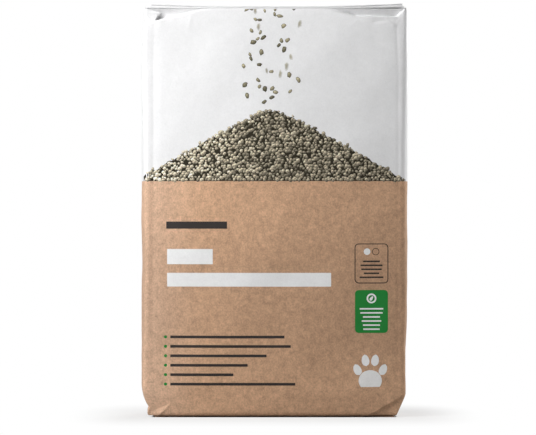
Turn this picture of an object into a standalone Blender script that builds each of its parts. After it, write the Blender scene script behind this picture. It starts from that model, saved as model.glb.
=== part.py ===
"""A filled valve sack: a pasted paper sack with block ends, sealed and standing on its base.

The front panel faces -Y and the valve is at the +X end of the top. Units are metres, +Z is up, and the
origin is on the floor at the centre of the sack's footprint.
"""

import math
from dataclasses import dataclass

import bmesh
import bpy

MM = 0.001

# Sack body
WIDTH = 300 * MM  # across the front, at the widest height
END_DEPTH = 100 * MM  # front to back at the folded ends
BODY_HEIGHT = 456.6 * MM  # from the floor to the fold along the top of the front panel
SWELL = 2 * MM  # how far the vertical edges move apart where the sack is fullest
FACE_CROWN = 12 * MM  # bulge of the front and back panels where the sack is fullest
END_CROWN = 1.5 * MM  # bulge of the same panels at the folded ends
SIDE_CROWN = 3.8 * MM  # bulge of the two side panels
EDGE_RADIUS = 7.5 * MM  # rounding of the vertical edges where the sack is fullest
END_EDGE_RADIUS = 3.5 * MM  # rounding of the vertical edges at the folded ends
FULLEST_SHARE = 0.46  # height of the fullest place, as a share of the body's height
RIPPLE = 0.5 * MM  # depth of the soft waves in the paper panels
RIPPLE_WAVES = ((31, 17), (-19, 23), (57, -41))  # how fast each wave runs along X and Z, per metre
RIPPLE_FADE = 50 * MM  # they fade out over this distance from the panel's edges

# Outline of the body seen from the front
BLANK_TOP_DRAW = 4.2 * MM  # how far the blank end's edge is drawn in at the top
VALVE_TOP_DRAW = 2.2 * MM  # the same at the valve end
TOP_DRAW_POWER = 18  # how late on the way up the drawing-in comes
EDGE_DENT = 2.2 * MM  # dent in the blank end's edge, near the top
EDGE_DENT_DROP = 12.5 * MM  # its distance down from the top fold
EDGE_DENT_LENGTH = 8 * MM  # how far it reaches up and down
BLANK_FOOT_HEIGHT = 36.2 * MM  # where the blank end's edge starts to round in towards the floor
BLANK_FOOT_DRAW = 19.4 * MM  # how far that rounding would reach at the floor
BLANK_FOOT_POWER = 2.2  # how sharply it rounds in
EAR_HEIGHT = 11.6 * MM  # top of the folded ear that shows below the rounding
EAR_FLARE = 1.1 * MM  # how far the ear stands out from the notch above it
EAR_NOTCH = 3.1 * MM  # height of that notch
EAR_ROUND = 4.6 * MM  # rounding of the ear at the floor
EAR_ROUND_HEIGHT = 5 * MM
VALVE_DRAW = 2.4 * MM  # how far the valve end's edge leans in above its foot
VALVE_LEAN_HEIGHT = 150 * MM  # where that lean starts
VALVE_FOOT_HEIGHT = 25.2 * MM  # where the valve end's edge is cut off by a slanting facet
VALVE_FOOT_DRAW = 11.9 * MM  # how far that facet reaches in at the floor
VALVE_FOOT_POWER = 1.2  # how hollow the facet is
FOOT_ROLL_HEIGHT = 5.5 * MM  # where the panels start to roll under at the base
FOOT_ROLL = 2.8 * MM  # how far they roll in

# Folded ends
PLY = 0.8 * MM  # thickness of a glued cover sheet
GLUE_GAP = 0.3 * MM  # clearance that separate pieces keep
TUCK_THICKNESS = 1.4 * MM  # corner tucks, above the fold of the body
FLAP_THICKNESS = 1.7 * MM  # overlapped end flaps at the middle of the top
TOP_RISE_BLANK = 2.4 * MM  # how far the top flaps stand up at the blank end
TOP_RISE_VALVE = 3.2 * MM  # how far they stand up at the valve end
FLAT_MIDDLE = 45 * MM  # half length of the stretch of the top that doesn't stand up
RISE_POWER = 1.5  # how late on the way to the ends the standing up comes
LIP = 0.35 * MM  # height of the body's top fold under the flaps
SLIT_START = 0.3 * MM  # gap under the top flaps where they don't stand up
SLIT = 0.9 * MM  # dark slit under the top flaps at their ends
SLIT_END = 5 * MM  # the slit is fully open from here, in from the sides of the sack
SHOULDER_BLANK = 2 * MM  # tuck that shows beyond the top flaps at the blank end
SHOULDER_VALVE = 2.8 * MM  # tuck that shows beyond the top flaps at the valve end
FOLD_INSET = 0.3 * MM  # rounding of the top fold itself
UNDERCUT = 1.8 * MM  # how far the slit goes in under the top flaps at their ends
EDGE_ROLL = 1 * MM  # rounding of the flaps' outer folds
END_DROP = 2.8 * MM  # how far the top flaps' ends droop
END_DROP_LENGTH = 6 * MM
END_DROP_POWER = 2.5  # how late that droop comes
TUCK_MARGIN = 4 * MM  # width of a flap's tip beside the triangular tuck
BASE_FLAP = 1 * MM  # flattened flaps under the base
BASE_INSET = 1.2 * MM  # flattened base flaps, in from the ear and the facet
BASE_TUCK_DEPTH = 0.7 * MM  # step from the base flaps up to their tucks

# Glued cover sheets
COVER_MARGIN = 3 * MM  # cover sheet, in from the long folds
COVER_BLANK_MARGIN = 6 * MM  # cover sheet, in from the flaps' ends at the blank end
COVER_VALVE_MARGIN = 2 * MM  # the same at the valve end
COVER_CORNER = 3 * MM  # rounding of its corners

# Valve sleeve
SLEEVE_WIDTH = 84 * MM
SLEEVE_LENGTH = 90 * MM
SLEEVE_WALL = 0.4 * MM
SLEEVE_BORE = 0.4 * MM  # the sleeve is pressed flat
SLEEVE_SET_BACK = 0.5 * MM  # mouth, in from the side panel

# Back seam of the paper tube
SEAM_SHARE = -0.22  # place of its edge, as a share of half the back panel
SEAM_WIDTH_SHARE = 0.2
SEAM_STEP = 0.5 * MM

# Print
PRINT_EDGE = 264 * MM  # height where the white field ends and the kraft field starts
WHITE = (0.80, 0.80, 0.80, 1.0)
KRAFT = (0.45, 0.28, 0.16, 1.0)
SLEEVE_PAPER = (0.52, 0.36, 0.22, 1.0)

# Folded-in corners, each a chain of corners of the hollow as (distance in from the sack's side,
# distance down from the top fold or up from the floor), then its deepest place and its depth
BLANK_TOP_CHAIN = ((20.5 * MM, 0.0), (18.5 * MM, 12.6 * MM), (66.6 * MM, 0.5 * MM))
BLANK_TOP_DEEPEST = (25.5 * MM, 0.0)
BLANK_TOP_DEPTH = 5 * MM
VALVE_TOP_CHAIN = ((5.3 * MM, 0.6 * MM), (20.4 * MM, 14.3 * MM), (53.4 * MM, 9.8 * MM), (65.7 * MM, 1.4 * MM))
VALVE_TOP_DEEPEST = (27.7 * MM, 0.0)
VALVE_TOP_DEPTH = 4.5 * MM
BLANK_FOOT_CHAIN = ((0.0, 35.2 * MM), (33 * MM, 14.2 * MM), (20 * MM, 1.9 * MM))
BLANK_FOOT_DEEPEST = (6 * MM, 4.2 * MM)
BLANK_FOOT_DEPTH = 6 * MM

# Folds at the two feet, each from its start to its end on the same terms, with the height of its step
EAR_START = (10 * MM, EAR_HEIGHT)  # along the top of the ear at the blank end
EAR_END = (19.6 * MM, 3.9 * MM)
EAR_STEP = 1.2 * MM
EAR_FOLD_WIDTH = 2 * MM
FOLD_START = (37.6 * MM, 6.3 * MM)  # across the corner at the valve end
FOLD_END = (8.6 * MM, 23.1 * MM)
FOLD_STEP = 2.5 * MM
FOLD_WIDTH = 5 * MM

BACK_SHARE = 0.8  # the back panel's hollows against those of the front

# Fineness of the surface
FACE_STEPS = 16  # columns of faces from a vertical edge to the middle of a panel
SIDE_STEPS = 8
EDGE_STEPS = 2  # half of a rounded vertical edge
FOOT_ROWS = 20
TOP_ROWS = 20
COVER_STEPS = 5
COLUMN_CROWDING = 1.6  # more than 1 brings the columns closer together near the vertical edges
FOOT_CROWDING = 2.2  # the same for the rows near the base
TOP_CROWDING = 2.0  # and near the top


@dataclass
class Ring:
    """One level outline of a piece: a rectangle with bulging sides and rounded corners."""

    height: float
    left: float  # reach towards -X, at the middle of the side panel
    right: float
    depth: float  # reach towards the front and back, at the vertical edges
    crown: float = 0.0
    side_crown: float = 0.0
    radius: float = END_EDGE_RADIUS
    rise: float = 0.0  # share of the flaps' rise that this outline follows
    groove: float = 0.0  # how far the corners of this outline go in under the flaps
    pressed: bool = False  # follows the hollows in the paper


def ease(low, high, value):
    """0 up to low and 1 from high on, with a soft start and end."""
    share = min(max((value - low) / (high - low), 0.0), 1.0)
    return share * share * (3.0 - 2.0 * share)


def filling(z):
    """How far the filling pushes the panels out at height z, from 0 to 1."""
    share = min(max(z / BODY_HEIGHT, 0.0), 1.0)
    return math.sin(math.pi * share ** (math.log(0.5) / math.log(FULLEST_SHARE))) ** 0.6


def blank_reach(z):
    """Reach of the side without the valve, towards -X."""
    reach = WIDTH / 2 - BLANK_TOP_DRAW * (z / BODY_HEIGHT) ** TOP_DRAW_POWER
    dent = EDGE_DENT * (1.0 - ease(0.0, EDGE_DENT_LENGTH, abs(BODY_HEIGHT - EDGE_DENT_DROP - z)))
    rounding = BLANK_FOOT_DRAW * max(0.0, 1.0 - max(z, EAR_HEIGHT) / BLANK_FOOT_HEIGHT) ** BLANK_FOOT_POWER
    ear = EAR_FLARE * (1.0 - ease(EAR_HEIGHT - EAR_NOTCH, EAR_HEIGHT, z))
    toe = EAR_ROUND * max(0.0, 1.0 - z / EAR_ROUND_HEIGHT) ** 2
    return reach - dent - rounding + ear - toe


def valve_reach(z):
    """Reach of the valve's side, towards +X."""
    lean = VALVE_DRAW * (1.0 - ease(VALVE_FOOT_HEIGHT, VALVE_LEAN_HEIGHT, z))
    facet = VALVE_FOOT_DRAW * max(0.0, 1.0 - z / VALVE_FOOT_HEIGHT) ** VALVE_FOOT_POWER
    return WIDTH / 2 - lean - facet - VALVE_TOP_DRAW * (z / BODY_HEIGHT) ** TOP_DRAW_POWER


def flap_end(side):
    """Reach of the top flaps towards the blank end (side -1) or the valve end (side 1)."""
    if side < 0:
        return blank_reach(BODY_HEIGHT) - SHOULDER_BLANK
    return valve_reach(BODY_HEIGHT) - SHOULDER_VALVE


def flap_rise(x):
    """How far the top flaps stand up at x: not in the middle, most near their ends, which droop a little."""
    end = flap_end(x)
    share = max(0.0, abs(x) - FLAT_MIDDLE) / (end - FLAT_MIDDLE)
    droop = max(0.0, 1.0 - (end - abs(x)) / END_DROP_LENGTH)
    rise = (TOP_RISE_BLANK if x < 0 else TOP_RISE_VALVE) * share**RISE_POWER
    return rise - END_DROP * droop**END_DROP_POWER


def corner_share(x):
    """1 near either end of the top, where the slit is open, and 0 in the middle."""
    return ease(FLAT_MIDDLE, WIDTH / 2 - SLIT_END, abs(x))


def across(point, start, end):
    """Twice the area of the triangle of the three points, signed by the side that point is on."""
    run = end[0] - start[0], end[1] - start[1]
    return run[0] * (point[1] - start[1]) - run[1] * (point[0] - start[0])


def hollow(point, chain, deepest):
    """Depth share of a hollow with flat facets, one from each side of the chain to the deepest place."""
    sides = list(zip(chain, chain[1:]))
    return max(0.0, min(across(point, *side) / across(deepest, *side) for side in sides))


def fold_step(point, start, end, width):
    """Share of the step beside a fold: 0 up to the fold and 1 from the given width off it."""
    return ease(0.0, width, across(point, start, end) / math.dist(start, end))


def ripple(x, z):
    """Soft waves of the panels, which fade out at the edges."""
    first, second, third = (math.sin(along * x + up * z) for along, up in RIPPLE_WAVES)
    waves = first * second + 0.6 * third
    inside = ease(0.0, RIPPLE_FADE, min(z, BODY_HEIGHT - z, WIDTH / 2 - abs(x)))
    return RIPPLE * waves * inside


def pressed_in(x, z):
    """How far the front panel is pressed in at x and z."""
    top = BODY_HEIGHT - z
    if x < 0:
        inset = x + WIDTH / 2
        head = BLANK_TOP_DEPTH * hollow((inset, top), BLANK_TOP_CHAIN, BLANK_TOP_DEEPEST)
        foot = BLANK_FOOT_DEPTH * hollow((inset, z), BLANK_FOOT_CHAIN, BLANK_FOOT_DEEPEST)
        foot += EAR_STEP * fold_step((inset, z), EAR_END, EAR_START, EAR_FOLD_WIDTH)
    else:
        inset = WIDTH / 2 - x
        head = VALVE_TOP_DEPTH * hollow((inset, top), VALVE_TOP_CHAIN, VALVE_TOP_DEEPEST)
        foot = FOLD_STEP * fold_step((inset, z), FOLD_START, FOLD_END, FOLD_WIDTH)
    return head + foot + ripple(x, z)


def seam(share, z):
    """Height of the tube's overlap on the back panel, where share runs from -1 to 1 across the panel."""
    inner = ease(SEAM_SHARE - SEAM_WIDTH_SHARE - 0.05, SEAM_SHARE - SEAM_WIDTH_SHARE, share)
    return SEAM_STEP * inner * (share <= SEAM_SHARE) * ease(0.0, 20 * MM, min(z, BODY_HEIGHT - z))


def place(ring, x, y, facing, panel=0.0):
    """A point of the ring, with the slit, the hollows and the flaps' rise taken in. facing is the share of
    the panel's inward push that reaches the point, with the front's sign."""
    depth = ring.groove * corner_share(x)
    if ring.pressed:
        depth += pressed_in(x, ring.height) * (1.0 if facing < 0 else BACK_SHARE)
    if ring.pressed and facing > 0:
        depth -= seam(panel, ring.height)
    return x, y - facing * depth, ring.height + ring.rise * flap_rise(x)


def face_shares():
    """Columns of the front and back panels from -1 to 1, closer together near the vertical edges."""
    rising = [1.0 - (step / FACE_STEPS) ** COLUMN_CROWDING for step in range(FACE_STEPS + 1)]
    columns = [-share for share in rising] + rising[-2::-1]
    return sorted(columns + [SEAM_SHARE, SEAM_SHARE + 0.006])


def panel_points(ring, side, shares):
    """The front (side -1) or back (side 1) from one corner's middle to the other's, in +X direction."""
    start = -(ring.left - ring.side_crown - ring.radius)
    end = ring.right - ring.side_crown - ring.radius
    middle, half = (start + end) / 2, (end - start) / 2
    centre = ring.depth - ring.radius
    points = []
    for step in range(EDGE_STEPS):
        turn = math.radians(45) * (1.0 - step / EDGE_STEPS)
        x = start - ring.radius * math.sin(turn)
        points.append(place(ring, x, side * (centre + ring.radius * math.cos(turn)), side * math.cos(turn)))
    for share in shares:
        y = side * (ring.depth + ring.crown * (1.0 - share * share))
        points.append(place(ring, middle + half * share, y, side, share))
    for step in range(1, EDGE_STEPS + 1):
        turn = math.radians(45) * step / EDGE_STEPS
        x = end + ring.radius * math.sin(turn)
        points.append(place(ring, x, side * (centre + ring.radius * math.cos(turn)), side * math.cos(turn)))
    return points


def side_points(ring, side, steps):
    """The side panel at -X (side -1) or +X (side 1) between the panels' corners, from front to back."""
    reach = ring.left if side < 0 else ring.right
    edge = reach - ring.side_crown
    half = ring.depth - ring.radius
    points = []
    for step in range(1, EDGE_STEPS):
        turn = math.radians(45) * (1.0 - step / EDGE_STEPS)
        x = side * (edge - ring.radius + ring.radius * math.cos(turn))
        points.append(place(ring, x, -half - ring.radius * math.sin(turn), -math.sin(turn)))
    for step in range(steps + 1):
        share = 2.0 * step / steps - 1.0
        x = side * (edge + ring.side_crown * (1.0 - share * share))
        points.append(place(ring, x, half * share, 0.0))
    for step in range(1, EDGE_STEPS):
        turn = math.radians(45) * step / EDGE_STEPS
        x = side * (edge - ring.radius + ring.radius * math.cos(turn))
        points.append(place(ring, x, half + ring.radius * math.sin(turn), math.sin(turn)))
    return points


def ring_edges(ring, shares, steps):
    """The ring's four edges as lists of points, corner to corner: front, back, left and right."""
    front = panel_points(ring, -1, shares)
    back = panel_points(ring, 1, shares)
    left = [front[0]] + side_points(ring, -1, steps) + [back[0]]
    right = [front[-1]] + side_points(ring, 1, steps) + [back[-1]]
    return front, back, left, right


def blend(first, second, share):
    return tuple(a + (b - a) * share for a, b in zip(first, second))


def cap_grid(edges):
    """Points of a surface that fills a ring: rows from the front edge to the back edge."""
    front, back, left, right = edges
    width, length = front[-1][0] - front[0][0], left[-1][1] - left[0][1]
    rows = []
    for low, high in zip(left, right):
        v = (low[1] - left[0][1]) / length
        row = []
        for near, far in zip(front, back):
            u = (near[0] - front[0][0]) / width
            long_way = blend(near, far, v)
            short_way = blend(low, high, u)
            corners = blend(blend(front[0], front[-1], u), blend(back[0], back[-1], u), v)
            row.append(tuple(a + b - c for a, b, c in zip(long_way, short_way, corners)))
        rows.append(row)
    return rows


def add_cap(mesh, edges, loop, top):
    """Fills the ring of vertices in loop, which runs round front, right, back and left, with a grid."""
    rows = cap_grid(edges)
    last_row, last_column = len(rows) - 1, len(rows[0]) - 1
    grid = [[None] * (last_column + 1) for _ in rows]
    round_trip = [(0, i) for i in range(last_column)] + [(j, last_column) for j in range(last_row)]
    round_trip += [(last_row, last_column - i) for i in range(last_column)]
    round_trip += [(last_row - j, 0) for j in range(last_row)]
    for vertex, (j, i) in zip(loop, round_trip):
        grid[j][i] = vertex
    for j in range(1, last_row):
        for i in range(1, last_column):
            grid[j][i] = mesh.verts.new(rows[j][i])
    for j in range(last_row):
        for i in range(last_column):
            corners = [grid[j][i], grid[j][i + 1], grid[j + 1][i + 1], grid[j + 1][i]]
            mesh.faces.new(corners if top else corners[::-1])


def loft(name, rings, shares, steps):
    """A closed object through the rings, from the lowest to the highest."""
    mesh = bmesh.new()
    edges_of = [ring_edges(ring, shares, steps) for ring in rings]
    loops = []
    for front, back, left, right in edges_of:
        outline = front[:-1] + right[:-1] + back[:0:-1] + left[:0:-1]
        loops.append([mesh.verts.new(point) for point in outline])
    for lower, upper in zip(loops, loops[1:]):
        for i in range(len(lower)):
            j = (i + 1) % len(lower)
            mesh.faces.new((lower[i], lower[j], upper[j], upper[i]))
    add_cap(mesh, edges_of[0], loops[0], top=False)
    add_cap(mesh, edges_of[-1], loops[-1], top=True)
    return link(name, mesh)


def link(name, mesh):
    data = bpy.data.meshes.new(name)
    mesh.to_mesh(data)
    mesh.free()
    data.shade_smooth()
    data.set_sharp_from_angle(angle=math.radians(30))
    made = bpy.data.objects.new(name, data)
    bpy.context.scene.collection.objects.link(made)
    return made


def body_ring(z):
    """The sack's outline at height z, between the base and the top fold."""
    full = filling(z)
    roll = FOOT_ROLL * max(0.0, 1.0 - z / FOOT_ROLL_HEIGHT) ** 2
    return Ring(
        height=z,
        left=blank_reach(z),
        right=valve_reach(z),
        depth=END_DEPTH / 2 + SWELL * full - roll,
        crown=END_CROWN + (FACE_CROWN - END_CROWN) * full,
        side_crown=SIDE_CROWN * full,
        radius=END_EDGE_RADIUS + (EDGE_RADIUS - END_EDGE_RADIUS) * full,
        pressed=True,
    )


def flap_ring(height, roll, rise, groove=0.0):
    """An outline of the top flaps, roll in from their outer folds."""
    return Ring(
        height=height,
        left=flap_end(-1) - roll,
        right=flap_end(1) - roll,
        depth=END_DEPTH / 2 - roll,
        crown=END_CROWN,
        rise=rise,
        groove=groove,
    )


def base_ring(height, inset):
    """An outline of the flattened flaps under the base."""
    foot = PLY + GLUE_GAP + BASE_FLAP
    return Ring(
        height=height,
        left=blank_reach(foot) - inset,
        right=valve_reach(foot) - inset,
        depth=END_DEPTH / 2 - FOOT_ROLL - inset / 2,
        crown=END_CROWN / 2,
    )


def body_rows():
    """Heights of the body's rings, closer together near the folded ends."""
    foot = PLY + GLUE_GAP + BASE_FLAP
    low = [foot + (PRINT_EDGE - foot) * (row / FOOT_ROWS) ** FOOT_CROWDING for row in range(FOOT_ROWS)]
    upper = BODY_HEIGHT - PRINT_EDGE
    high = [BODY_HEIGHT - upper * (row / TOP_ROWS) ** TOP_CROWDING for row in range(TOP_ROWS + 1)]
    return sorted(low[:1] + low[2:] + high + [EAR_HEIGHT])


def make_sack():
    base = PLY + GLUE_GAP
    lip = BODY_HEIGHT + LIP
    slit_share = SLIT / TOP_RISE_VALVE
    top = BODY_HEIGHT + FLAP_THICKNESS
    rings = [base_ring(base, BASE_INSET + EDGE_ROLL), base_ring(base + BASE_FLAP / 2, BASE_INSET)]
    rings += [body_ring(z) for z in body_rows()]
    rings += [
        flap_ring(lip, FOLD_INSET, 0.0, UNDERCUT),
        flap_ring(lip + SLIT_START, 0.0, slit_share),
        flap_ring(top - EDGE_ROLL / 2, 0.0, 1.0),
        flap_ring(top, EDGE_ROLL, 1.0),
    ]
    sack = loft("sack", rings, face_shares(), SIDE_STEPS)
    ends = tuck_notches()
    for cutter in ends + [sleeve_pocket()]:
        cut = sack.modifiers.new(cutter.name, "BOOLEAN")
        cut.operation = "DIFFERENCE"
        cut.solver = "EXACT"
        cut.object = cutter
    return sack


def prism(name, outline, bottom, top):
    """A cutter: the outline, anticlockwise from above, carried from bottom to top."""
    mesh = bmesh.new()
    low = [mesh.verts.new((x, y, bottom)) for x, y in outline]
    high = [mesh.verts.new((x, y, top)) for x, y in outline]
    mesh.faces.new(low[::-1])
    mesh.faces.new(high)
    for i in range(len(outline)):
        j = (i + 1) % len(outline)
        mesh.faces.new((low[i], low[j], high[j], high[i]))
    cutter = link(name, mesh)
    cutter.hide_render = True
    cutter.display_type = "WIRE"
    return cutter


def notch_outline(end, side):
    """The triangle between two flaps' slanting edges, which run in at 45 degrees from the end."""
    overrun = 2 * TUCK_MARGIN
    half = END_DEPTH / 2 - TUCK_MARGIN
    apex = (side * (end - half), 0.0)
    corners = [(side * (end + overrun), half + overrun), (side * (end + overrun), -half - overrun)]
    outline = [apex] + corners
    return outline if side < 0 else outline[::-1]


def tuck_notches():
    """Cutters for the triangular tucks that lie open between the flaps, two on top and two under the base."""
    base_tuck = PLY + GLUE_GAP + BASE_TUCK_DEPTH
    foot = PLY + GLUE_GAP + BASE_FLAP
    feet = {-1: blank_reach(foot) - BASE_INSET, 1: valve_reach(foot) - BASE_INSET}
    cutters = []
    for side, word in ((-1, "blank"), (1, "valve")):
        outline = notch_outline(flap_end(side), side)
        floor = BODY_HEIGHT + TUCK_THICKNESS
        cutters.append(prism(f"cut_{word}_top_tuck", outline, floor, floor + 10 * MM))
        outline = notch_outline(feet[side], side)
        cutters.append(prism(f"cut_{word}_base_tuck", outline, -1 * MM, base_tuck))
    return cutters


def sleeve_span():
    """Start and end of the sleeve along X."""
    mouth = valve_reach(BODY_HEIGHT) - SLEEVE_SET_BACK
    return mouth - SLEEVE_LENGTH, mouth


def sleeve_levels():
    """Bottom and top of the sleeve, which lies just under the floor of the valve's tuck."""
    top = BODY_HEIGHT + TUCK_THICKNESS - GLUE_GAP
    return top - 2 * SLEEVE_WALL - SLEEVE_BORE, top


def sleeve_pocket():
    start, _ = sleeve_span()
    bottom, top = sleeve_levels()
    half = SLEEVE_WIDTH / 2 + GLUE_GAP
    low, high = start - GLUE_GAP, WIDTH / 2 + 10 * MM
    outline = [(low, -half), (high, -half), (high, half), (low, half)]
    return prism("cut_sleeve_pocket", outline, bottom - GLUE_GAP, top + GLUE_GAP)


def flat_tube_loop(mesh, x, half_width, half_height, middle, turns=6):
    """A vertical loop with round ends, of the given size, at x."""
    points = []
    for side in (1, -1):
        for step in range(turns + 1):
            turn = side * (math.pi / 2 - math.pi * step / turns)
            y = side * (half_width - half_height) + half_height * math.cos(turn) * side
            points.append((x, y, middle + half_height * math.sin(turn)))
    return [mesh.verts.new(point) for point in points]


def make_sleeve():
    start, mouth = sleeve_span()
    bottom, top = sleeve_levels()
    middle, half = (bottom + top) / 2, (top - bottom) / 2
    mesh = bmesh.new()
    loops = {}
    for x in (start, mouth):
        loops[x, "out"] = flat_tube_loop(mesh, x, SLEEVE_WIDTH / 2, half, middle)
        loops[x, "in"] = flat_tube_loop(mesh, x, SLEEVE_WIDTH / 2 - SLEEVE_WALL, SLEEVE_BORE / 2, middle)
    walls = [
        (loops[start, "out"], loops[mouth, "out"]),
        (loops[mouth, "out"], loops[mouth, "in"]),
        (loops[mouth, "in"], loops[start, "in"]),
        (loops[start, "in"], loops[start, "out"]),
    ]
    for first, second in walls:
        for i in range(len(first)):
            j = (i + 1) % len(first)
            mesh.faces.new((first[i], first[j], second[j], second[i]))
    bmesh.ops.recalc_face_normals(mesh, faces=mesh.faces)
    return link("valve_sleeve", mesh)


def cover_rings(lowest, ring, rise):
    """The two faces of a cover sheet that lies on or under the given outline of flaps."""
    rings = []
    for height in (lowest, lowest + PLY):
        rings.append(
            Ring(
                height=height,
                left=ring.left - COVER_BLANK_MARGIN,
                right=ring.right - COVER_VALVE_MARGIN,
                depth=ring.depth + ring.crown - COVER_MARGIN,
                radius=COVER_CORNER,
                rise=rise,
            )
        )
    return rings


def make_covers():
    shares = face_shares()[::2]
    top = BODY_HEIGHT + FLAP_THICKNESS
    lid = cover_rings(top + GLUE_GAP, flap_ring(top, 0.0, 1.0), 1.0)
    sole = cover_rings(0.0, base_ring(0.0, BASE_INSET), 0.0)
    top_cover = loft("top_cover_sheet", lid, shares, COVER_STEPS)
    return top_cover, loft("bottom_cover_sheet", sole, shares, COVER_STEPS)


def paper(name, colour):
    made = bpy.data.materials.new(name)
    made.use_nodes = True
    shader = made.node_tree.nodes["Principled BSDF"]
    shader.inputs["Base Color"].default_value = colour
    shader.inputs["Roughness"].default_value = 0.85
    shader.inputs["Metallic"].default_value = 0.0
    return made


def paint_sack(sack):
    """White above the print's edge and kraft below it."""
    sack.data.materials.append(paper("white_printed_paper", WHITE))
    sack.data.materials.append(paper("kraft_paper", KRAFT))
    for face in sack.data.polygons:
        face.material_index = int(face.center.z < PRINT_EDGE)


def main():
    for old in list(bpy.data.objects):
        bpy.data.objects.remove(old, do_unlink=True)
    sack = make_sack()
    paint_sack(sack)
    top_cover, bottom_cover = make_covers()
    top_cover.data.materials.append(paper("white_cover_paper", WHITE))
    bottom_cover.data.materials.append(paper("kraft_cover_paper", KRAFT))
    make_sleeve().data.materials.append(paper("sleeve_paper", SLEEVE_PAPER))


main()
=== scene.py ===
"""Visual model of the filled valve sack: its paper, folds, glued sheets and generic print."""

import math

import bpy
import numpy as np
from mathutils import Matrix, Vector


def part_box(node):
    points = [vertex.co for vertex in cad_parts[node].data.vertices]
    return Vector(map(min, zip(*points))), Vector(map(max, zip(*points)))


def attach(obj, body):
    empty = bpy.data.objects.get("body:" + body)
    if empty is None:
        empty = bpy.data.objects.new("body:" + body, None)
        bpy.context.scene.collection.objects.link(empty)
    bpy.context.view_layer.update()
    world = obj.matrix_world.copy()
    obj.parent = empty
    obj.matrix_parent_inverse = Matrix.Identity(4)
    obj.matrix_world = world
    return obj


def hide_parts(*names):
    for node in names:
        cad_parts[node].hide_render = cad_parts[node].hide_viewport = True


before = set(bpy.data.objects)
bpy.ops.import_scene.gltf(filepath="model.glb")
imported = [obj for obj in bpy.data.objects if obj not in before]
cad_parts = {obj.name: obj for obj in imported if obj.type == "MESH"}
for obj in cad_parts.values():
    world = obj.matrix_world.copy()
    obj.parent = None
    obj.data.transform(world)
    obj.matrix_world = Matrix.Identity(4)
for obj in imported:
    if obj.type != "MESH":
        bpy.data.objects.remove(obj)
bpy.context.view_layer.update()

MM = 0.001


def mm(*lengths):
    """The same lengths, given in millimetres and in groups or not, in metres."""
    return tuple(mm(*length) if isinstance(length, tuple) else length * MM for length in lengths)


# Sack body, as in the CAD
WIDTH = 300 * MM
END_DEPTH = 100 * MM
BODY_HEIGHT = 456.6 * MM
SWELL = 2 * MM
FACE_CROWN = 12 * MM
END_CROWN = 1.5 * MM
SIDE_CROWN = 3.8 * MM
EDGE_RADIUS = 7.5 * MM
END_EDGE_RADIUS = 3.5 * MM
FULLEST_SHARE = 0.46
FULLNESS_POWER = 0.6
RIPPLE = 0.5 * MM
RIPPLE_WAVES = ((31, 17), (-19, 23), (57, -41))
RIPPLE_THIRD = 0.6
RIPPLE_FADE = 50 * MM
PRINT_EDGE = 264 * MM

# Outline of the body seen from the front, as in the CAD
BLANK_TOP_DRAW = 4.2 * MM
VALVE_TOP_DRAW = 2.2 * MM
TOP_DRAW_POWER = 18
EDGE_DENT = 2.2 * MM
EDGE_DENT_DROP = 12.5 * MM
EDGE_DENT_LENGTH = 8 * MM
BLANK_FOOT_HEIGHT = 36.2 * MM
BLANK_FOOT_DRAW = 19.4 * MM
BLANK_FOOT_POWER = 2.2
EAR_HEIGHT = 11.6 * MM
EAR_FLARE = 1.1 * MM
EAR_NOTCH = 3.1 * MM
EAR_ROUND = 4.6 * MM
EAR_ROUND_HEIGHT = 5 * MM
VALVE_DRAW = 2.4 * MM
VALVE_LEAN_HEIGHT = 150 * MM
VALVE_FOOT_HEIGHT = 25.2 * MM
VALVE_FOOT_DRAW = 11.9 * MM
VALVE_FOOT_POWER = 1.2
FOOT_ROLL_HEIGHT = 5.5 * MM
FOOT_ROLL = 2.8 * MM

# Folded ends, as in the CAD
PLY = 0.8 * MM
GLUE_GAP = 0.3 * MM
TUCK_THICKNESS = 1.4 * MM
FLAP_THICKNESS = 1.7 * MM
TOP_RISE_BLANK = 2.4 * MM
TOP_RISE_VALVE = 3.2 * MM
FLAT_MIDDLE = 45 * MM
RISE_POWER = 1.5
LIP = 0.35 * MM
SLIT_START = 0.3 * MM
SLIT = 0.9 * MM
SLIT_END = 5 * MM
SHOULDER_BLANK = 2 * MM
SHOULDER_VALVE = 2.8 * MM
END_DROP = 2.8 * MM
END_DROP_LENGTH = 6 * MM
END_DROP_POWER = 2.5
TUCK_MARGIN = 4 * MM
BASE_FLAP = 1 * MM
BASE_INSET = 1.2 * MM
COVER_MARGIN = 3 * MM
COVER_BLANK_MARGIN = 6 * MM
COVER_VALVE_MARGIN = 2 * MM

# Folds and hollows of the corners: (distance in from the sack's side, distance from the top fold or the floor)
BLANK_FACET = mm((7.4, 0.8), (24.1, 4.7), (19.7, 11.1))
BLANK_RIDGE = mm((19.7, 11.1), (65.5, 0.7))
BLANK_FACET_LEAN = 0.07
BLANK_FACET_ENDS = mm(8, 18)
VALVE_RIDGES = mm(((7.2, 1.3), (15.5, 9.0)), ((14.3, 7.5), (60.1, 6.9)), ((60.1, 6.9), (75.8, 2.5)))
TUCK_LIP = 0.8 * MM  # how far the top fold overhangs the paper below it at the corners
BLANK_TUCK_LEAN, VALVE_TUCK_LEAN = 0.75, 0.95  # how steeply that paper runs in from there to the ridges
BLANK_TUCK_ENDS, VALVE_TUCK_ENDS = mm((0.5, 8), (0.5, 6))  # from the side: starts, full
RIDGE_WIDTH = 1.8 * MM
BLANK_FOOT_CHAIN = mm((0.0, 35.2), (33, 14.2), (20, 1.9))
BLANK_FOOT_DEEPEST = mm(6, 4.2)
BLANK_FOOT_DEPTH = 4.2 * MM
EAR_START = (10 * MM, EAR_HEIGHT)
EAR_END = mm(19.6, 3.9)
EAR_STEP = 0.6 * MM
EAR_FOLD_WIDTH = 2 * MM
FOLD_START = mm(37.6, 6.3)
FOLD_END = mm(8.6, 23.1)
FOLD_STEP = 2.5 * MM
FOLD_WIDTH = 6 * MM
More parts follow.
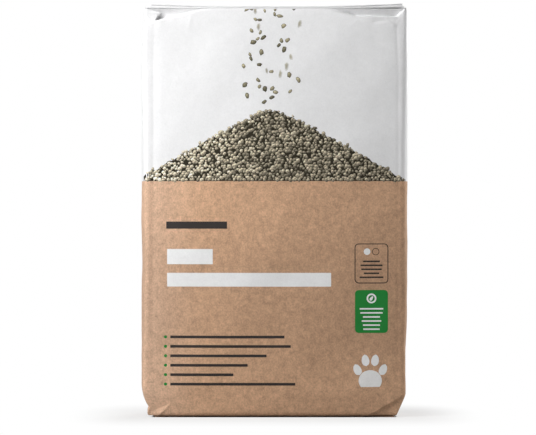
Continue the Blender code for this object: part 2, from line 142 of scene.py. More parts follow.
BACK_SHARE = 0.8  # the back's corners are pressed in less than the front's

# Creases of the front panel: ends as (x, height) in millimetres, then height outwards and half width
CREASES = (
    ((-142.2, 455.5), (-126.6, 452.8), 0.5, 2.0),
    ((-144.0, 451.9), (-135.9, 444.1), -0.6, 2.0),
    ((-139.0, 436.5), (-131.5, 445.5), 0.5, 2.2),
    ((-87.9, 453.3), (-132.1, 444.1), -0.35, 2.5),
    ((-121.4, 448.2), (-100.2, 454.2), 0.7, 1.8),
    ((-92.3, 450.8), (-95.7, 435.2), 0.35, 3.5),
    ((-73.4, 447.0), (-71.6, 433.0), -0.35, 3.5),
    ((123.1, 447.4), (135.7, 436.8), 0.9, 2.5),
    ((143.6, 453.3), (134.6, 443.6), -0.7, 2.0),
    ((89.9, 454.2), (99.4, 446.9), 0.5, 2.5),
    ((99.4, 446.9), (122.3, 446.9), 0.5, 2.5),
    ((86.0, 448.2), (99.0, 445.3), -0.5, 1.8),
    ((125.3, 445.4), (131.3, 442.7), -1.0, 2.0),
    ((92.1, 443.0), (84.3, 437.4), 0.35, 3.0),
    ((104.0, 426.0), (128.0, 410.0), -0.5, 9.0),
    ((-129.2, 2.7), (-116.9, 14.4), 0.7, 2.5),
    ((108.9, 441.3), (124.6, 443.5), -0.6, 3.0),
    ((135.7, 437.2), (138.2, 397.2), -0.5, 3.0),
    ((138.2, 397.2), (137.6, 31.2), -0.38, 3.0),
    ((-135.9, 441.2), (-136.6, 61.2), -0.22, 2.4),
    ((-134.5, 447.0), (-135.5, 58.0), -0.6, 9.0),
)
CREASE_TIP, CREASE_TAPER = 0.35, 4.0  # share of its height at the ends, and how fast it grows from there

# Soft unevenness of the paper: cell size, depth, and how near the ends it fades out
SWELLS = mm((52, 0.85, 34), (23, 0.33, 16), (10, 0.06, 6))
SWELL_SHIFT = (11.3, 5.1)
NOISE_CELLS = 97  # after so many cells the noise repeats
FRONT_SEED, BACK_SEED, VALVE_SEED, BLANK_SEED = 100, 300, 500, 700
SIDE_SHARE = 0.8  # of the panels' unevenness on the sides
TOP_TILT = 0.2 * MM  # how far the panels are drawn in at the top fold, away from the corners
TOP_TILT_REACH = 2.4 * MM
TILT_ENDS = mm(70, 95)
PUCKER = 0.3 * MM  # short upright wrinkles that run off the folded ends
PUCKER_CELL, PUCKER_SEED = (8 * MM, 30 * MM), 7
PUCKER_ENDS = mm(0.0, 3, 4, 38)  # from an end: starts, full, ends again, gone
SEAM_X = -30 * MM  # edge of the tube's overlap on the back panel
SEAM_WIDTH = 28 * MM
SEAM_SLOPE = 6 * MM
SEAM_EDGE = 0.8 * MM
SEAM_FADE = 15 * MM
SEAM_STEP = 0.35 * MM

# Folds between the body and its ends
FOOT_RINGS = mm((7.8, 0.0), (4.0, 0.0), (3.6, 0.3), (3.4, 0.7))  # inset, height
TOP_INSET = 14 * MM
FOLD_TURNS = (0.4, 0.8, 1.2, math.pi / 2)
FOLD_RADIUS, BLANK_FOLD_MORE, VALVE_FOLD_MORE = mm(0.15, 0.45, 0.85)
FLAP_ROUND = 1.0 * MM
FLAP_STEPS = 14
FLAP_SHARES = ((0.0, 0.3, 46), (0.3, 0.7, 26), (0.7, 1.0, 46))
FLAP_SINK = 0.05 * MM
FRONT_FLAP_EDGE, BACK_FLAP_EDGE = mm(-12, 12.3)
BLANK_SLIT_SHARE = 0.45
WAVE, WAVE_CELL, WAVE_ROW, WAVE_SEED, WAVE_EVEN = 0.25 * MM, 26 * MM, 3.3, 41, 0.4  # unevenness of the flaps

# Corner tucks on the top
TUCK_SHEET = 0.25 * MM
TUCK_OUTS = mm(0.4, 0.7, 1.2, 2, 3)
TUCK_LENGTH = (4 * MM, 46 * MM, 24)
TUCK_COLUMNS = 40
TUCK_SIDE, TUCK_NARROW, TUCK_TIP = 3.2 * MM, 0.98, 0.8 * MM
BLANK_TUCK_BEND, BLANK_BEND_START, BLANK_BEND_LENGTH = mm(0.9, 0.4, 2.2)
VALVE_TUCK_BEND, VALVE_BEND_LENGTH = mm(0.15, 2)
TUCK_COCKLE = (0.12 * MM, 9 * MM, 14 * MM, 71)  # height, cell size along X and Y, and seed

# Cover sheets
COVER_THICKNESS, BASE_THICKNESS = mm(0.8, 0.78)
COVER_GRID, BASE_GRID = (190, 64), (120, 40)
COVER_STEP, COVER_STEP_ENDS = mm(0.15, (11, 13))  # down from the front flap to the back one
COVER_COCKLES = ((0.16 * MM, 17 * MM, 24 * MM, 51), (0.1 * MM, 7 * MM, 9 * MM, 52))
COVER_COCKLE_SHARE = COVER_WAVE_SHARE = 0.6
COVER_SAG, COVER_SAG_LENGTH = mm(0.9, 30)  # where no flap lies under it
BASE_COCKLE = (0.05 * MM, 15 * MM, 12 * MM, 61)

# Valve sleeve
MOUTH = 20 * MM
SLEEVE_WALL = 0.22 * MM
SLEEVE_GAP = 0.02 * MM
SLEEVE_STATIONS, MOUTH_STATIONS, SLEEVE_TURNS = 12, 22, 72
PRESSED_OPEN, MOUTH_MORE = 0.55, 0.45
SLEEVE_ROUND, SLEEVE_LENS = 0.6, 3

# Fineness of the paper surface
MIDDLE_STEP = 3.0 * MM
EDGE_STEP = 1.3 * MM
EDGE_ZONE = 62 * MM
SIDE_COLUMNS = 36
ARC_STEPS = 6
END_ROW = 0.9 * MM
MIDDLE_ROW = 3.2 * MM
END_ZONE = 42 * MM
TOP_ROW_DROP = 1.2 * MM

# Camera that the photograph was taken with, about 4 m away
CAMERA_X = -7.36 * MM
CAMERA_HEIGHT = 223.3 * MM
CAMERA_DISTANCE = 4.0
SENSOR = 36.0
VIEW_WIDTH = 606.8 * MM  # across the picture at the sack's middle


def ease(low, high, value):
    """0 up to low and 1 from high on, with a soft start and end."""
    share = np.clip((value - low) / (high - low), 0.0, 1.0)
    return share * share * (3.0 - 2.0 * share)


def filling(z):
    share = np.clip(z / BODY_HEIGHT, 0.0, 1.0)
    turn = math.pi * share ** (math.log(0.5) / math.log(FULLEST_SHARE))
    return np.abs(np.sin(turn)) ** FULLNESS_POWER


def blank_reach(z):
    reach = WIDTH / 2 - BLANK_TOP_DRAW * np.clip(z / BODY_HEIGHT, 0.0, 1.0) ** TOP_DRAW_POWER
    dent = EDGE_DENT * (1.0 - ease(0.0, EDGE_DENT_LENGTH, np.abs(BODY_HEIGHT - EDGE_DENT_DROP - z)))
    rounding = np.maximum(0.0, 1.0 - np.maximum(z, EAR_HEIGHT) / BLANK_FOOT_HEIGHT)
    ear = EAR_FLARE * (1.0 - ease(EAR_HEIGHT - EAR_NOTCH, EAR_HEIGHT, z))
    toe = EAR_ROUND * np.maximum(0.0, 1.0 - z / EAR_ROUND_HEIGHT) ** 2
    return reach - dent - BLANK_FOOT_DRAW * rounding**BLANK_FOOT_POWER + ear - toe


def valve_reach(z):
    lean = VALVE_DRAW * (1.0 - ease(VALVE_FOOT_HEIGHT, VALVE_LEAN_HEIGHT, z))
    facet = VALVE_FOOT_DRAW * np.maximum(0.0, 1.0 - z / VALVE_FOOT_HEIGHT) ** VALVE_FOOT_POWER
    return WIDTH / 2 - lean - facet - VALVE_TOP_DRAW * np.clip(z / BODY_HEIGHT, 0.0, 1.0) ** TOP_DRAW_POWER


BLANK_END = float(blank_reach(BODY_HEIGHT)) - SHOULDER_BLANK
VALVE_END = float(valve_reach(BODY_HEIGHT)) - SHOULDER_VALVE


def flap_rise(x):
    """How far the top flaps stand up at x."""
    end = np.where(x < 0, BLANK_END, VALVE_END)
    share = np.clip((np.abs(x) - FLAT_MIDDLE) / (end - FLAT_MIDDLE), 0.0, 1.05)
    droop = np.clip(1.0 - (end - np.abs(x)) / END_DROP_LENGTH, 0.0, 1.0)
    rise = np.where(x < 0, TOP_RISE_BLANK, TOP_RISE_VALVE) * share**RISE_POWER
    return rise - END_DROP * droop**END_DROP_POWER


def corner_share(x):
    return ease(FLAT_MIDDLE, WIDTH / 2 - SLIT_END, np.abs(x))


def across(px, pz, start, end):
    return (end[0] - start[0]) * (pz - start[1]) - (end[1] - start[1]) * (px - start[0])


def hollow(px, pz, chain, deepest):
    """Depth share of a hollow with flat facets, one from each side of the chain to the deepest place."""
    shares = [across(px, pz, *side) / across(*deepest, *side) for side in zip(chain, chain[1:])]
    return np.maximum(0.0, np.minimum.reduce(shares))


def fold_step(px, pz, start, end, width):
    return ease(0.0, width, across(px, pz, start, end) / math.dist(start, end))


def under_fold(inset, top, lean, ends):
    return (TUCK_LIP + lean * np.maximum(top, 0.0)) * ease(*ends, inset)


def blank_tuck(inset, top):
    """How far the blank end's corner is pressed in, under the top fold."""
    first, second, third = BLANK_FACET
    facet = fold_step(inset, top, first, second, RIDGE_WIDTH) * fold_step(inset, top, second, third, RIDGE_WIDTH)
    above = 1.0 - fold_step(inset, top, *BLANK_RIDGE, RIDGE_WIDTH)
    leaning = BLANK_FACET_LEAN * inset * facet * (1.0 - ease(*BLANK_FACET_ENDS, top))
    return under_fold(inset, top, BLANK_TUCK_LEAN, BLANK_TUCK_ENDS) * (1.0 - facet) * above + leaning


def valve_tuck(inset, top):
    """How far the valve end's corner is pressed in, under the top fold."""
    above = 1.0
    for ridge in VALVE_RIDGES:
        above = above * (1.0 - fold_step(inset, top, *ridge, RIDGE_WIDTH))
    return under_fold(inset, top, VALVE_TUCK_LEAN, VALVE_TUCK_ENDS) * above


def noise(u, v, seed):
    """Smooth noise from about -1 to 1, with cells of size 1."""
    rng = np.random.default_rng(seed)
    turn = rng.uniform(0.0, 2.0 * math.pi, (NOISE_CELLS, NOISE_CELLS))
    lean_u, lean_v = np.cos(turn), np.sin(turn)
    i, j = np.floor(u).astype(int), np.floor(v).astype(int)
    f, g = u - i, v - j
    total = 0.0
    for di, dj in ((0, 0), (1, 0), (0, 1), (1, 1)):
        a, b = (i + di) % NOISE_CELLS, (j + dj) % NOISE_CELLS
        wu = f if di else 1.0 - f
        wv = g if dj else 1.0 - g
        wu = wu**3 * (wu * (wu * 6 - 15) + 10)
        wv = wv**3 * (wv * (wv * 6 - 15) + 10)
        total = total + wu * wv * (lean_u[a, b] * (f - di) + lean_v[a, b] * (g - dj))
    return 1.5 * total


def crease(x, z, start, end, height, width):
    """A soft ridge (or a furrow, with a negative height) along a line on the front panel."""
    ax, az, bx, bz = (value * MM for value in (*start, *end))
    run_x, run_z = bx - ax, bz - az
    length = math.hypot(run_x, run_z)
    along = ((x - ax) * run_x + (z - az) * run_z) / length**2
    near = np.clip(along, 0.0, 1.0)
    off = np.hypot(x - ax - near * run_x, z - az - near * run_z)
    tip = np.minimum(1.0, CREASE_TIP + CREASE_TAPER * np.minimum(near, 1.0 - near))
    return height * MM * tip * np.maximum(0.0, 1.0 - off / (width * MM)) ** 1.5


def tilt(x):
    return TOP_TILT * (1.0 - ease(*TILT_ENDS, np.abs(x)))


def pressed_in(x, z, front=True):
    """How far a panel is pressed in at x and z."""
    top = BODY_HEIGHT - z
    blank, valve = x + WIDTH / 2, WIDTH / 2 - x
    left = blank_tuck(blank, top) + BLANK_FOOT_DEPTH * hollow(blank, z, BLANK_FOOT_CHAIN, BLANK_FOOT_DEEPEST)
    left = left + EAR_STEP * fold_step(blank, z, EAR_END, EAR_START, EAR_FOLD_WIDTH)
    beyond = across(valve, z, FOLD_START, FOLD_END) / math.dist(FOLD_START, FOLD_END) / FOLD_WIDTH
    beyond = np.clip(beyond, 0.0, 1.0)
    right = valve_tuck(valve, top) + FOLD_STEP * (1.0 - (1.0 - beyond) ** 2)
    first, second, third = (np.sin(along * x + up * z) for along, up in RIPPLE_WAVES)
    from_edges = np.minimum.reduce([z + 0.0 * x, top + 0.0 * x, WIDTH / 2 - np.abs(x) + 0.0 * z])
    inside = ease(0.0, RIPPLE_FADE, from_edges)
    depth = np.where(x < 0, left, right) + RIPPLE * (first * second + RIPPLE_THIRD * third) * inside
    depth = depth + tilt(x) * np.maximum(0.0, 1.0 - np.abs(top) / TOP_TILT_REACH)
    if front:
        for start, end, height, width in CREASES:
            depth = depth - crease(x, z, start, end, height, width)
    return depth


def unevenness(along, z, seed):
    """Soft waves and short wrinkles of a panel, outwards."""
    near_end = np.minimum(z, BODY_HEIGHT - z)
    shift_u, shift_v = SWELL_SHIFT
    total = 0.0
    for number, (cell, depth, fade) in enumerate(SWELLS):
        swell = depth * noise(along / cell + shift_u, z / cell + shift_v, seed + number)
        total = total + swell * ease(0.0, fade, near_end)
    start, full, last, gone = PUCKER_ENDS
    pucker = noise(along / PUCKER_CELL[0], z / PUCKER_CELL[1], seed + PUCKER_SEED)
    pucker = pucker * ease(start, full, near_end) * (1.0 - ease(last, gone, near_end))
    return total + PUCKER * pucker


def sizes(z):
    """The body's reach left and right, depth, crowns and edge radius at height z."""
    full = filling(z)
    roll = FOOT_ROLL * np.maximum(0.0, 1.0 - z / FOOT_ROLL_HEIGHT) ** 2
    depth = END_DEPTH / 2 + SWELL * full - roll
    crown = END_CROWN + (FACE_CROWN - END_CROWN) * full
    radius = END_EDGE_RADIUS + (EDGE_RADIUS - END_EDGE_RADIUS) * full
    return blank_reach(z), valve_reach(z), depth, crown, SIDE_CROWN * full, radius


def front_y(x, z):
    """Y of the paper's front surface at x and z, edge rounding included."""
    left, right, depth, crown, side_crown, radius = sizes(z)
    start = -(left - side_crown - radius)
    end = right - side_crown - radius
    share = (x - (start + end) / 2) / ((end - start) / 2)
    flat = depth + crown * np.maximum(0.0, 1.0 - share * share)
    over = np.maximum(np.maximum(start - x, x - end), 0.0)
    over = np.minimum(over, radius * 0.98)
    drop = radius - np.sqrt(radius**2 - over**2)
    lean = np.sqrt(radius**2 - over**2) / radius
    push = pressed_in(x, z) * lean - unevenness(x, z, FRONT_SEED) * lean
    return -(flat - drop) + push


def columns(length, zone=EDGE_ZONE):
    """Shares from -1 to 1 across a panel, closer together near its vertical edges."""
    near = int(zone / EDGE_STEP)
    middle = int((length - 2 * zone) / MIDDLE_STEP)
    left = -1.0 + np.arange(near) * (2 * zone / length) / near
    inner = np.linspace(-1.0 + 2 * zone / length, 1.0 - 2 * zone / length, middle + 1)
    return np.concatenate([left, inner, -left[::-1]])


SHARES = columns(WIDTH - 2 * (SIDE_CROWN + EDGE_RADIUS))


def seam(x, z):
    """Height of the tube's overlap on the back panel."""
    inner = ease(SEAM_X - SEAM_WIDTH - SEAM_SLOPE, SEAM_X - SEAM_WIDTH, x)
    edge = 1.0 - ease(SEAM_X, SEAM_X + SEAM_EDGE, x)
    return SEAM_STEP * inner * edge * ease(0.0, SEAM_FADE, np.minimum(z, BODY_HEIGHT - z))


def ring(z, inset=0.0, height=None, level=None):
    """Points round the sack at level z, from the front's left end by way of the right side."""
    left, right, depth, crown, side_crown, radius = (float(value) for value in sizes(np.float64(z)))
    left, right, depth = left - inset, right - inset, depth - inset
    start, end = -(left - side_crown - radius), right - side_crown - radius
    middle, half = (start + end) / 2, (end - start) / 2
    centre = depth - radius
    turns = np.arange(1, ARC_STEPS + 1) / (ARC_STEPS + 1) * math.pi / 2
    sin, cos = np.sin(turns), np.cos(turns)
    bulge = depth + crown * (1.0 - SHARES**2)
    across_side = np.linspace(-1.0, 1.0, SIDE_COLUMNS)
    side_bulge = side_crown * (1.0 - across_side**2)

    def edge(x, y, normal_x, normal_y):
        return x + radius * normal_x, y + radius * normal_y, normal_x, normal_y

    parts = (
        (middle + half * SHARES, -bulge, 0.0, -1.0),
        edge(end, -centre, sin, -cos),
        (right - side_crown + side_bulge, centre * across_side, 1.0, 0.0),
        edge(end, centre, cos, sin),
        (middle - half * SHARES, bulge, 0.0, 1.0),
        edge(start, centre, -sin, cos),
        (-(left - side_crown + side_bulge), -centre * across_side, -1.0, 0.0),
        edge(start, -centre, -cos, -sin),
    )
    x, y, normal_x, normal_y = np.concatenate([np.broadcast_arrays(*part) for part in parts], axis=1)

    level = min(z, BODY_HEIGHT) if level is None else level
    front, back = np.maximum(-normal_y, 0.0), np.maximum(normal_y, 0.0)
    push = pressed_in(x, level) * front + BACK_SHARE * pressed_in(x, level, front=False) * back
    bumps = unevenness(x, level, FRONT_SEED) * front + unevenness(x, level, BACK_SEED) * back
    y = y + front * push - back * push + (back - front) * bumps + back * seam(x, level)
    on_valve, on_blank = np.maximum(normal_x, 0.0), np.maximum(-normal_x, 0.0)
    sides = unevenness(y, level, VALVE_SEED) * on_valve - unevenness(y, level, BLANK_SEED) * on_blank
    x = x + SIDE_SHARE * sides * np.abs(normal_x)
    return np.stack([x, y, np.full(len(x), z if height is None else height)], axis=1)


def new_object(name, data):
    made = bpy.data.objects.new(name, data)
    bpy.context.scene.collection.objects.link(made)
    return made


def make_object(name, points, faces, materials, smooth=True, angle=40):
    data = bpy.data.meshes.new(name)
    data.from_pydata([tuple(point) for point in points], [], faces)
    data.validate()
    if smooth:
        data.shade_smooth()
        data.set_sharp_from_angle(angle=math.radians(angle))
    for material in materials:
        data.materials.append(material)
    return new_object(name, data)


def loop_faces(first, second, count):
    """Faces between two loops of vertices, first below second for a loop that runs anticlockwise."""
    return [(first + i, first + (i + 1) % count, second + (i + 1) % count, second + i) for i in range(count)]


def grid_faces(first, count_i, count_j):
    """Faces of a grid of count_i by count_j vertices, which are numbered from the first, j before i."""
    corners = [first + i * count_j + j for i in range(count_i - 1) for j in range(count_j - 1)]
    return [(a, a + count_j, a + count_j + 1, a + 1) for a in corners]


def body_levels():
    foot = PLY + GLUE_GAP + BASE_FLAP
    low = np.arange(foot, END_ZONE, END_ROW)
    high = np.arange(BODY_HEIGHT - TOP_ROW_DROP, BODY_HEIGHT - END_ZONE, -END_ROW)[::-1]
    steps = int((high[0] - low[-1]) / MIDDLE_ROW)
    middle = np.linspace(low[-1], high[0], steps + 1)[1:-1]
    return np.concatenate([low, middle, high])


def fold_radius(x):
    """Rounding of the paper's fold under the top flaps at x: crisp in the middle."""
    return FOLD_RADIUS + np.where(x < 0, BLANK_FOLD_MORE, VALVE_FOLD_MORE) * corner_share(x)


def make_skin(materials):
    """The sack's paper with everything but its top flaps and sheets, closed under and over."""
    foot = PLY + GLUE_GAP
    low = foot + BASE_FLAP
    rings = [ring(low, inset=BASE_INSET + inset, height=foot + height, level=low) for inset, height in FOOT_RINGS]
    rings += [ring(z) for z in body_levels()]
    outer, inner = ring(BODY_HEIGHT), ring(BODY_HEIGHT, inset=TOP_INSET, height=BODY_HEIGHT + LIP)
    inwards = (inner - outer) / TOP_INSET
    fold = fold_radius(outer[:, 0])
    for turn in FOLD_TURNS:
        points = outer + inwards * (fold * (1 - math.cos(turn)))[:, None]
        points[:, 2] = BODY_HEIGHT - fold + (fold + LIP) * math.sin(turn)
        rings.append(points)
    rings.append(inner)
    return make_tube("sack_skin", rings, materials)


def make_tube(name, loops, materials, flipped=False):
    """A closed body through loops of points, anticlockwise seen from its last loop."""
    count = len(loops[0])
    faces = []
    for number in range(len(loops) - 1):
        faces += loop_faces(number * count, (number + 1) * count, count)
    last = (len(loops) - 1) * count
    faces += [tuple(range(count))[::-1], tuple(range(last, last + count))]
    if flipped:
        faces = [face[::-1] for face in faces]
    return make_object(name, np.concatenate(loops), faces, materials, angle=50)


def flap_section(x, side, top, bottom, inner):
    """Loop of a top flap in the plane of y and z at x, from the inner edge's bottom by way of the outer fold."""
    reach = END_DEPTH / 2 + END_CROWN * max(0.0, 1.0 - (x / (WIDTH / 2 - TUCK_MARGIN)) ** 2)
    under = min((top - bottom) * 0.45, float(fold_radius(np.float64(x))))
    over = min((top - bottom) * 0.5, FLAP_ROUND)
    ins = np.linspace(0.0, 1.0, FLAP_STEPS)
    points = [(side * (inner + (reach - under - inner) * share), bottom) for share in ins]
    for turn in np.linspace(0.0, math.pi / 2, 5)[1:]:
        points.append((side * (reach - under + under * math.sin(turn)), bottom + under * (1 - math.cos(turn))))
    for turn in np.linspace(0.0, math.pi / 2, 6):
        points.append((side * (reach - over + over * math.cos(turn)), top - over + over * math.sin(turn)))
    return points + [(side * (inner + (reach - over - inner) * share), top) for share in ins[::-1][1:]]


def flap_wave(x, side):
    """Slight unevenness of a top flap along X."""
    return WAVE * noise(x / WAVE_CELL, side * WAVE_ROW, WAVE_SEED) * (WAVE_EVEN + corner_share(x))


def make_flap(name, side, inner, materials):
    """A top flap, folded over from the front (side -1) or back (side 1) panel, with 45 degree ends."""
    first, *others = (np.linspace(*part) for part in FLAP_SHARES)
    loops = []
    for share in np.concatenate([first] + [part[1:] for part in others]):
        nominal = -BLANK_END + (VALVE_END + BLANK_END) * share
        rise = float(flap_rise(nominal))
        top = BODY_HEIGHT + FLAP_THICKNESS + rise + float(flap_wave(nominal, side))
        gap = SLIT_START * float(corner_share(nominal)) + SLIT / TOP_RISE_VALVE * rise
        bottom = BODY_HEIGHT + LIP - FLAP_SINK + gap * (BLANK_SLIT_SHARE if nominal < 0 else 1.0)
        loop = []
        for y, z in flap_section(nominal, side, top, bottom, inner):
            cut = max(0.0, END_DEPTH / 2 - side * y - TUCK_MARGIN)
            low, high = -BLANK_END + cut, VALVE_END - cut
            loop.append((low + (high - low) * share, y, z))
        loops.append(loop)
    return make_tube(name, loops, materials, flipped=side < 0)


def cockle(x, y, height, cell_x, cell_y, seed):
    return height * noise(x / cell_x, y / cell_y, seed)


def make_sheet(name, upper, thickness, materials, flipped=False):
    """A closed sheet under a grid of points, which runs along X and then along Y."""
    columns_count, rows_count = upper.shape[:2]
    upper = upper.reshape(-1, 3)
    base = len(upper)
    faces = []
    for face in grid_faces(0, columns_count, rows_count):
        faces += [face, tuple(base + number for number in face[::-1])]
    rim = [i * rows_count for i in range(columns_count)]
    rim += [(columns_count - 1) * rows_count + j for j in range(1, rows_count)]
    rim += [i * rows_count + rows_count - 1 for i in range(columns_count - 2, -1, -1)]
    rim += range(rows_count - 2, 0, -1)
    for first, second in zip(rim, rim[1:] + rim[:1]):
        faces.append((second, first, base + first, base + second))
    if flipped:
        faces = [face[::-1] for face in faces]
    return make_object(name, np.concatenate([upper, upper - (0.0, 0.0, thickness)]), faces, materials, angle=50)


def grid_sheet(name, xs, ys, top, thickness, materials):
    """A closed sheet over the grid of xs and ys, with its upper face at height top(x, y)."""
    gx, gy = np.meshgrid(xs, ys, indexing="ij")
    return make_sheet(name, np.stack([gx, gy, top(gx, gy)], axis=2), thickness, materials)


def make_top_cover(materials):
    front = END_DEPTH / 2 + END_CROWN - COVER_MARGIN
    columns_count, rows_count = COVER_GRID
    xs = np.linspace(-(BLANK_END - COVER_BLANK_MARGIN), VALVE_END - COVER_VALVE_MARGIN, columns_count)
    ys = np.linspace(-front, front, rows_count)

    def top(x, y):
        step = COVER_STEP * (1.0 - ease(*COVER_STEP_ENDS, y))
        cockles = sum(cockle(x, y, *part) for part in COVER_COCKLES) * COVER_COCKLE_SHARE
        end = np.where(x < 0, BLANK_END, VALVE_END)
        open_share = np.clip((END_DEPTH / 2 - np.abs(y) - (end - np.abs(x))) / COVER_SAG_LENGTH, 0.0, 1.0)
        wave = flap_wave(x, np.sign(y)) * COVER_WAVE_SHARE
        rise_share = np.clip((np.abs(x) - FLAT_MIDDLE) / (end - FLAT_MIDDLE), 0, 1) ** RISE_POWER
        rise = np.where(x < 0, TOP_RISE_BLANK, TOP_RISE_VALVE) * rise_share
        level = BODY_HEIGHT + FLAP_THICKNESS + GLUE_GAP + PLY
        return level + rise + step + cockles + wave - COVER_SAG * open_share

    return grid_sheet("top_cover_paper", xs, ys, top, COVER_THICKNESS, materials)


def make_bottom_cover(materials):
    low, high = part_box("bottom_cover_sheet")
    columns_count, rows_count = BASE_GRID
    xs = np.linspace(low.x, high.x, columns_count)
    ys = np.linspace(low.y, high.y, rows_count)

    def top(x, y):
        return PLY + cockle(x, y, *BASE_COCKLE)

    return grid_sheet("bottom_cover_paper", xs, ys, top, BASE_THICKNESS, materials)


def make_tuck(name, side, materials):
    """The corner tuck that lies open between the flaps at an end of the top."""
    end = BLANK_END + SHOULDER_BLANK if side < 0 else VALVE_END + SHOULDER_VALVE
    outs = np.concatenate([TUCK_OUTS, np.linspace(*TUCK_LENGTH)])
    rows = []
    for out in outs:
        half = max(END_DEPTH / 2 - TUCK_SIDE - max(0.0, out - 2 * MM) * TUCK_NARROW, TUCK_TIP)
        if side < 0:
            bend = BLANK_TUCK_BEND * max(0.0, 1.0 - (out - BLANK_BEND_START) / BLANK_BEND_LENGTH) ** 2
        else:
            bend = VALVE_TUCK_BEND * max(0.0, 1.0 - out / VALVE_BEND_LENGTH)
        y = half * np.linspace(-1.0, 1.0, TUCK_COLUMNS)
        x = np.full(TUCK_COLUMNS, side * (end - out))
        rows.append(np.stack([x, y, BODY_HEIGHT + TUCK_THICKNESS - bend + cockle(x, y, *TUCK_COCKLE)], axis=1))
    return make_sheet(name, np.array(rows), TUCK_SHEET, materials, flipped=side > 0)


def make_sleeve(materials):
    """The flattened valve sleeve, its mouth a little open."""
    low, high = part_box("valve_sleeve")
    deep = np.linspace(low.x, high.x - MOUTH, SLEEVE_STATIONS)
    stations = np.concatenate([deep, np.linspace(high.x - MOUTH, high.x, MOUTH_STATIONS)[1:]])
    turns = np.linspace(0.0, 2 * math.pi, SLEEVE_TURNS, endpoint=False)
    loops = []
    for wall in (0.0, SLEEVE_WALL):
        for x in stations[::-1] if wall else stations:
            opened = PRESSED_OPEN + MOUTH_MORE * float(ease(high.x - MOUTH, high.x, x)) if wall else 1.0
            half = (high.y - low.y) / 2 - wall
            thick = (high.z - low.z) / 2 - SLEEVE_GAP - wall
            loop = []
            for turn in turns:
                c, s = math.cos(turn), math.sin(turn)
                across_share = math.copysign(abs(c) ** SLEEVE_ROUND, c)
                lens = math.sqrt(max(0.0, 1.0 - abs(across_share) ** SLEEVE_LENS))
                z = (low.z + high.z) / 2 + math.copysign(thick * opened * min(1.0, lens), s)
                loop.append((float(x), half * across_share, z))
            loops.append(loop)
    count = len(turns)
    faces = []
    for number in range(len(loops)):
        faces += loop_faces(number * count, ((number + 1) % len(loops)) * count, count)
    return make_object("valve_sleeve_paper", np.concatenate(loops), faces, materials, angle=50)


def feed(tree, socket, value):
    """Gives an input its value: another node's output, a number or a colour."""
    if isinstance(value, bpy.types.NodeSocket):
        tree.links.new(value, socket)
    else:
        socket.default_value = value


def node(tree, kind, **inputs):
    made = tree.nodes.new(kind)
    for key, value in inputs.items():
        feed(tree, made.inputs[key.replace("_", " ")], value)
    return made


def maths(tree, operation, *values):
    made = tree.nodes.new("ShaderNodeMath")
    made.operation = operation
    for number, value in enumerate(values):
        feed(tree, made.inputs[number], value)
    return made.outputs[0]


def vector_maths(tree, operation, first, second=None):
    made = tree.nodes.new("ShaderNodeVectorMath")
    made.operation = operation
    feed(tree, made.inputs[0], first)
    if second is not None:
        feed(tree, made.inputs["Scale" if operation == "SCALE" else 1], second)
    return made.outputs["Value" if operation == "LENGTH" else "Vector"]


def map_range(tree, value, low, high, start=0.0, end=1.0, smooth=True):
    """Output that goes from start to end while the value goes from low to high."""
    made = node(tree, "ShaderNodeMapRange", Value=value, From_Min=low, From_Max=high, To_Min=start, To_Max=end)
    made.interpolation_type = "SMOOTHSTEP" if smooth else "LINEAR"
    return made.outputs["Result"]


def mixed(tree, kind, share, first, second):
    """Output of a mix of two colours (kind RGBA) or vectors (kind VECTOR)."""
    made = tree.nodes.new("ShaderNodeMix")
    made.data_type = kind
    feed(tree, made.inputs["Factor"], share)
    ends = [socket for socket in made.inputs if socket.type == kind and socket.enabled]
    feed(tree, ends[0], first)
    feed(tree, ends[1], second)
    return next(socket for socket in made.outputs if socket.type == kind)


def noise_output(tree, place, scale, detail, roughness, distortion=0.0):
    made = node(tree, "ShaderNodeTexNoise", Vector=place, Scale=scale, Detail=detail, Roughness=roughness)
    feed(tree, made.inputs["Distortion"], distortion)
    return made.outputs["Fac"]


# Noise of the paper: scale, detail and roughness, with the fibres' distortion last
CLOUDS, SPECKS, FIBRES = (130.0, 4.0, 0.62), (520.0, 3.0, 0.6), (1.0, 2.0, 0.5, 1.5)
CLOUD_WEIGHT, SPECK_WEIGHT, FIBRE_WEIGHT = 1.1, 1.0, 0.8
FIBRE_STRETCH = (900.0, 900.0, 230.0)
GRAIN_BUMP, CRUMPLE_BUMP = (900.0, 3.0, 0.6), (85.0, 4.0, 0.55)
GRAIN_HEIGHT, CRUMPLE_HEIGHT, CRUMPLE_STRENGTH = 0.25 * MM, 0.6 * MM, 0.5

PLAIN_WHITE = (1.0, 1.0, 1.0)
WHITE = (0.85, 0.85, 0.855)
KRAFT = (0.583, 0.358, 0.221)
SLEEVE_KRAFT = (0.5, 0.33, 0.2)
INKS = {
    "dark_ink": (0.025, 0.02, 0.018),
    "white_ink": (0.86, 0.86, 0.86),
    "green_ink": (0.012, 0.22, 0.035),
    "pale_ink": (0.88, 0.875, 0.87),
    "gap_ink": (0.034, 0.029, 0.02),
}
WHITE_MOTTLE, COVER_MOTTLE, KRAFT_MOTTLE, HIDDEN_MOTTLE = 0.022, 0.012, 0.16, 0.10
KRAFT_PAINTED_LIGHT_LEAN = -0.56  # how much painted light changes the kraft's colour along X, per metre: lighter towards the blank end
KRAFT_PAINTED_SHADE_BAND = (0.03, 0.11, 0.16, 0.25)  # heights of a broad band of painted shade: starts, full, ends again, gone
KRAFT_PAINTED_SHADE = 0.13  # how dark that painted shade is
KRAFT_PAINTED_SHEEN = (1.0, 1.07, 1.19)  # painted sheen: the kraft's colour paler against the rest, towards the blank end
KRAFT_PAINTED_SHEEN_ENDS = (-0.07, -0.15)  # where along X it starts and is full


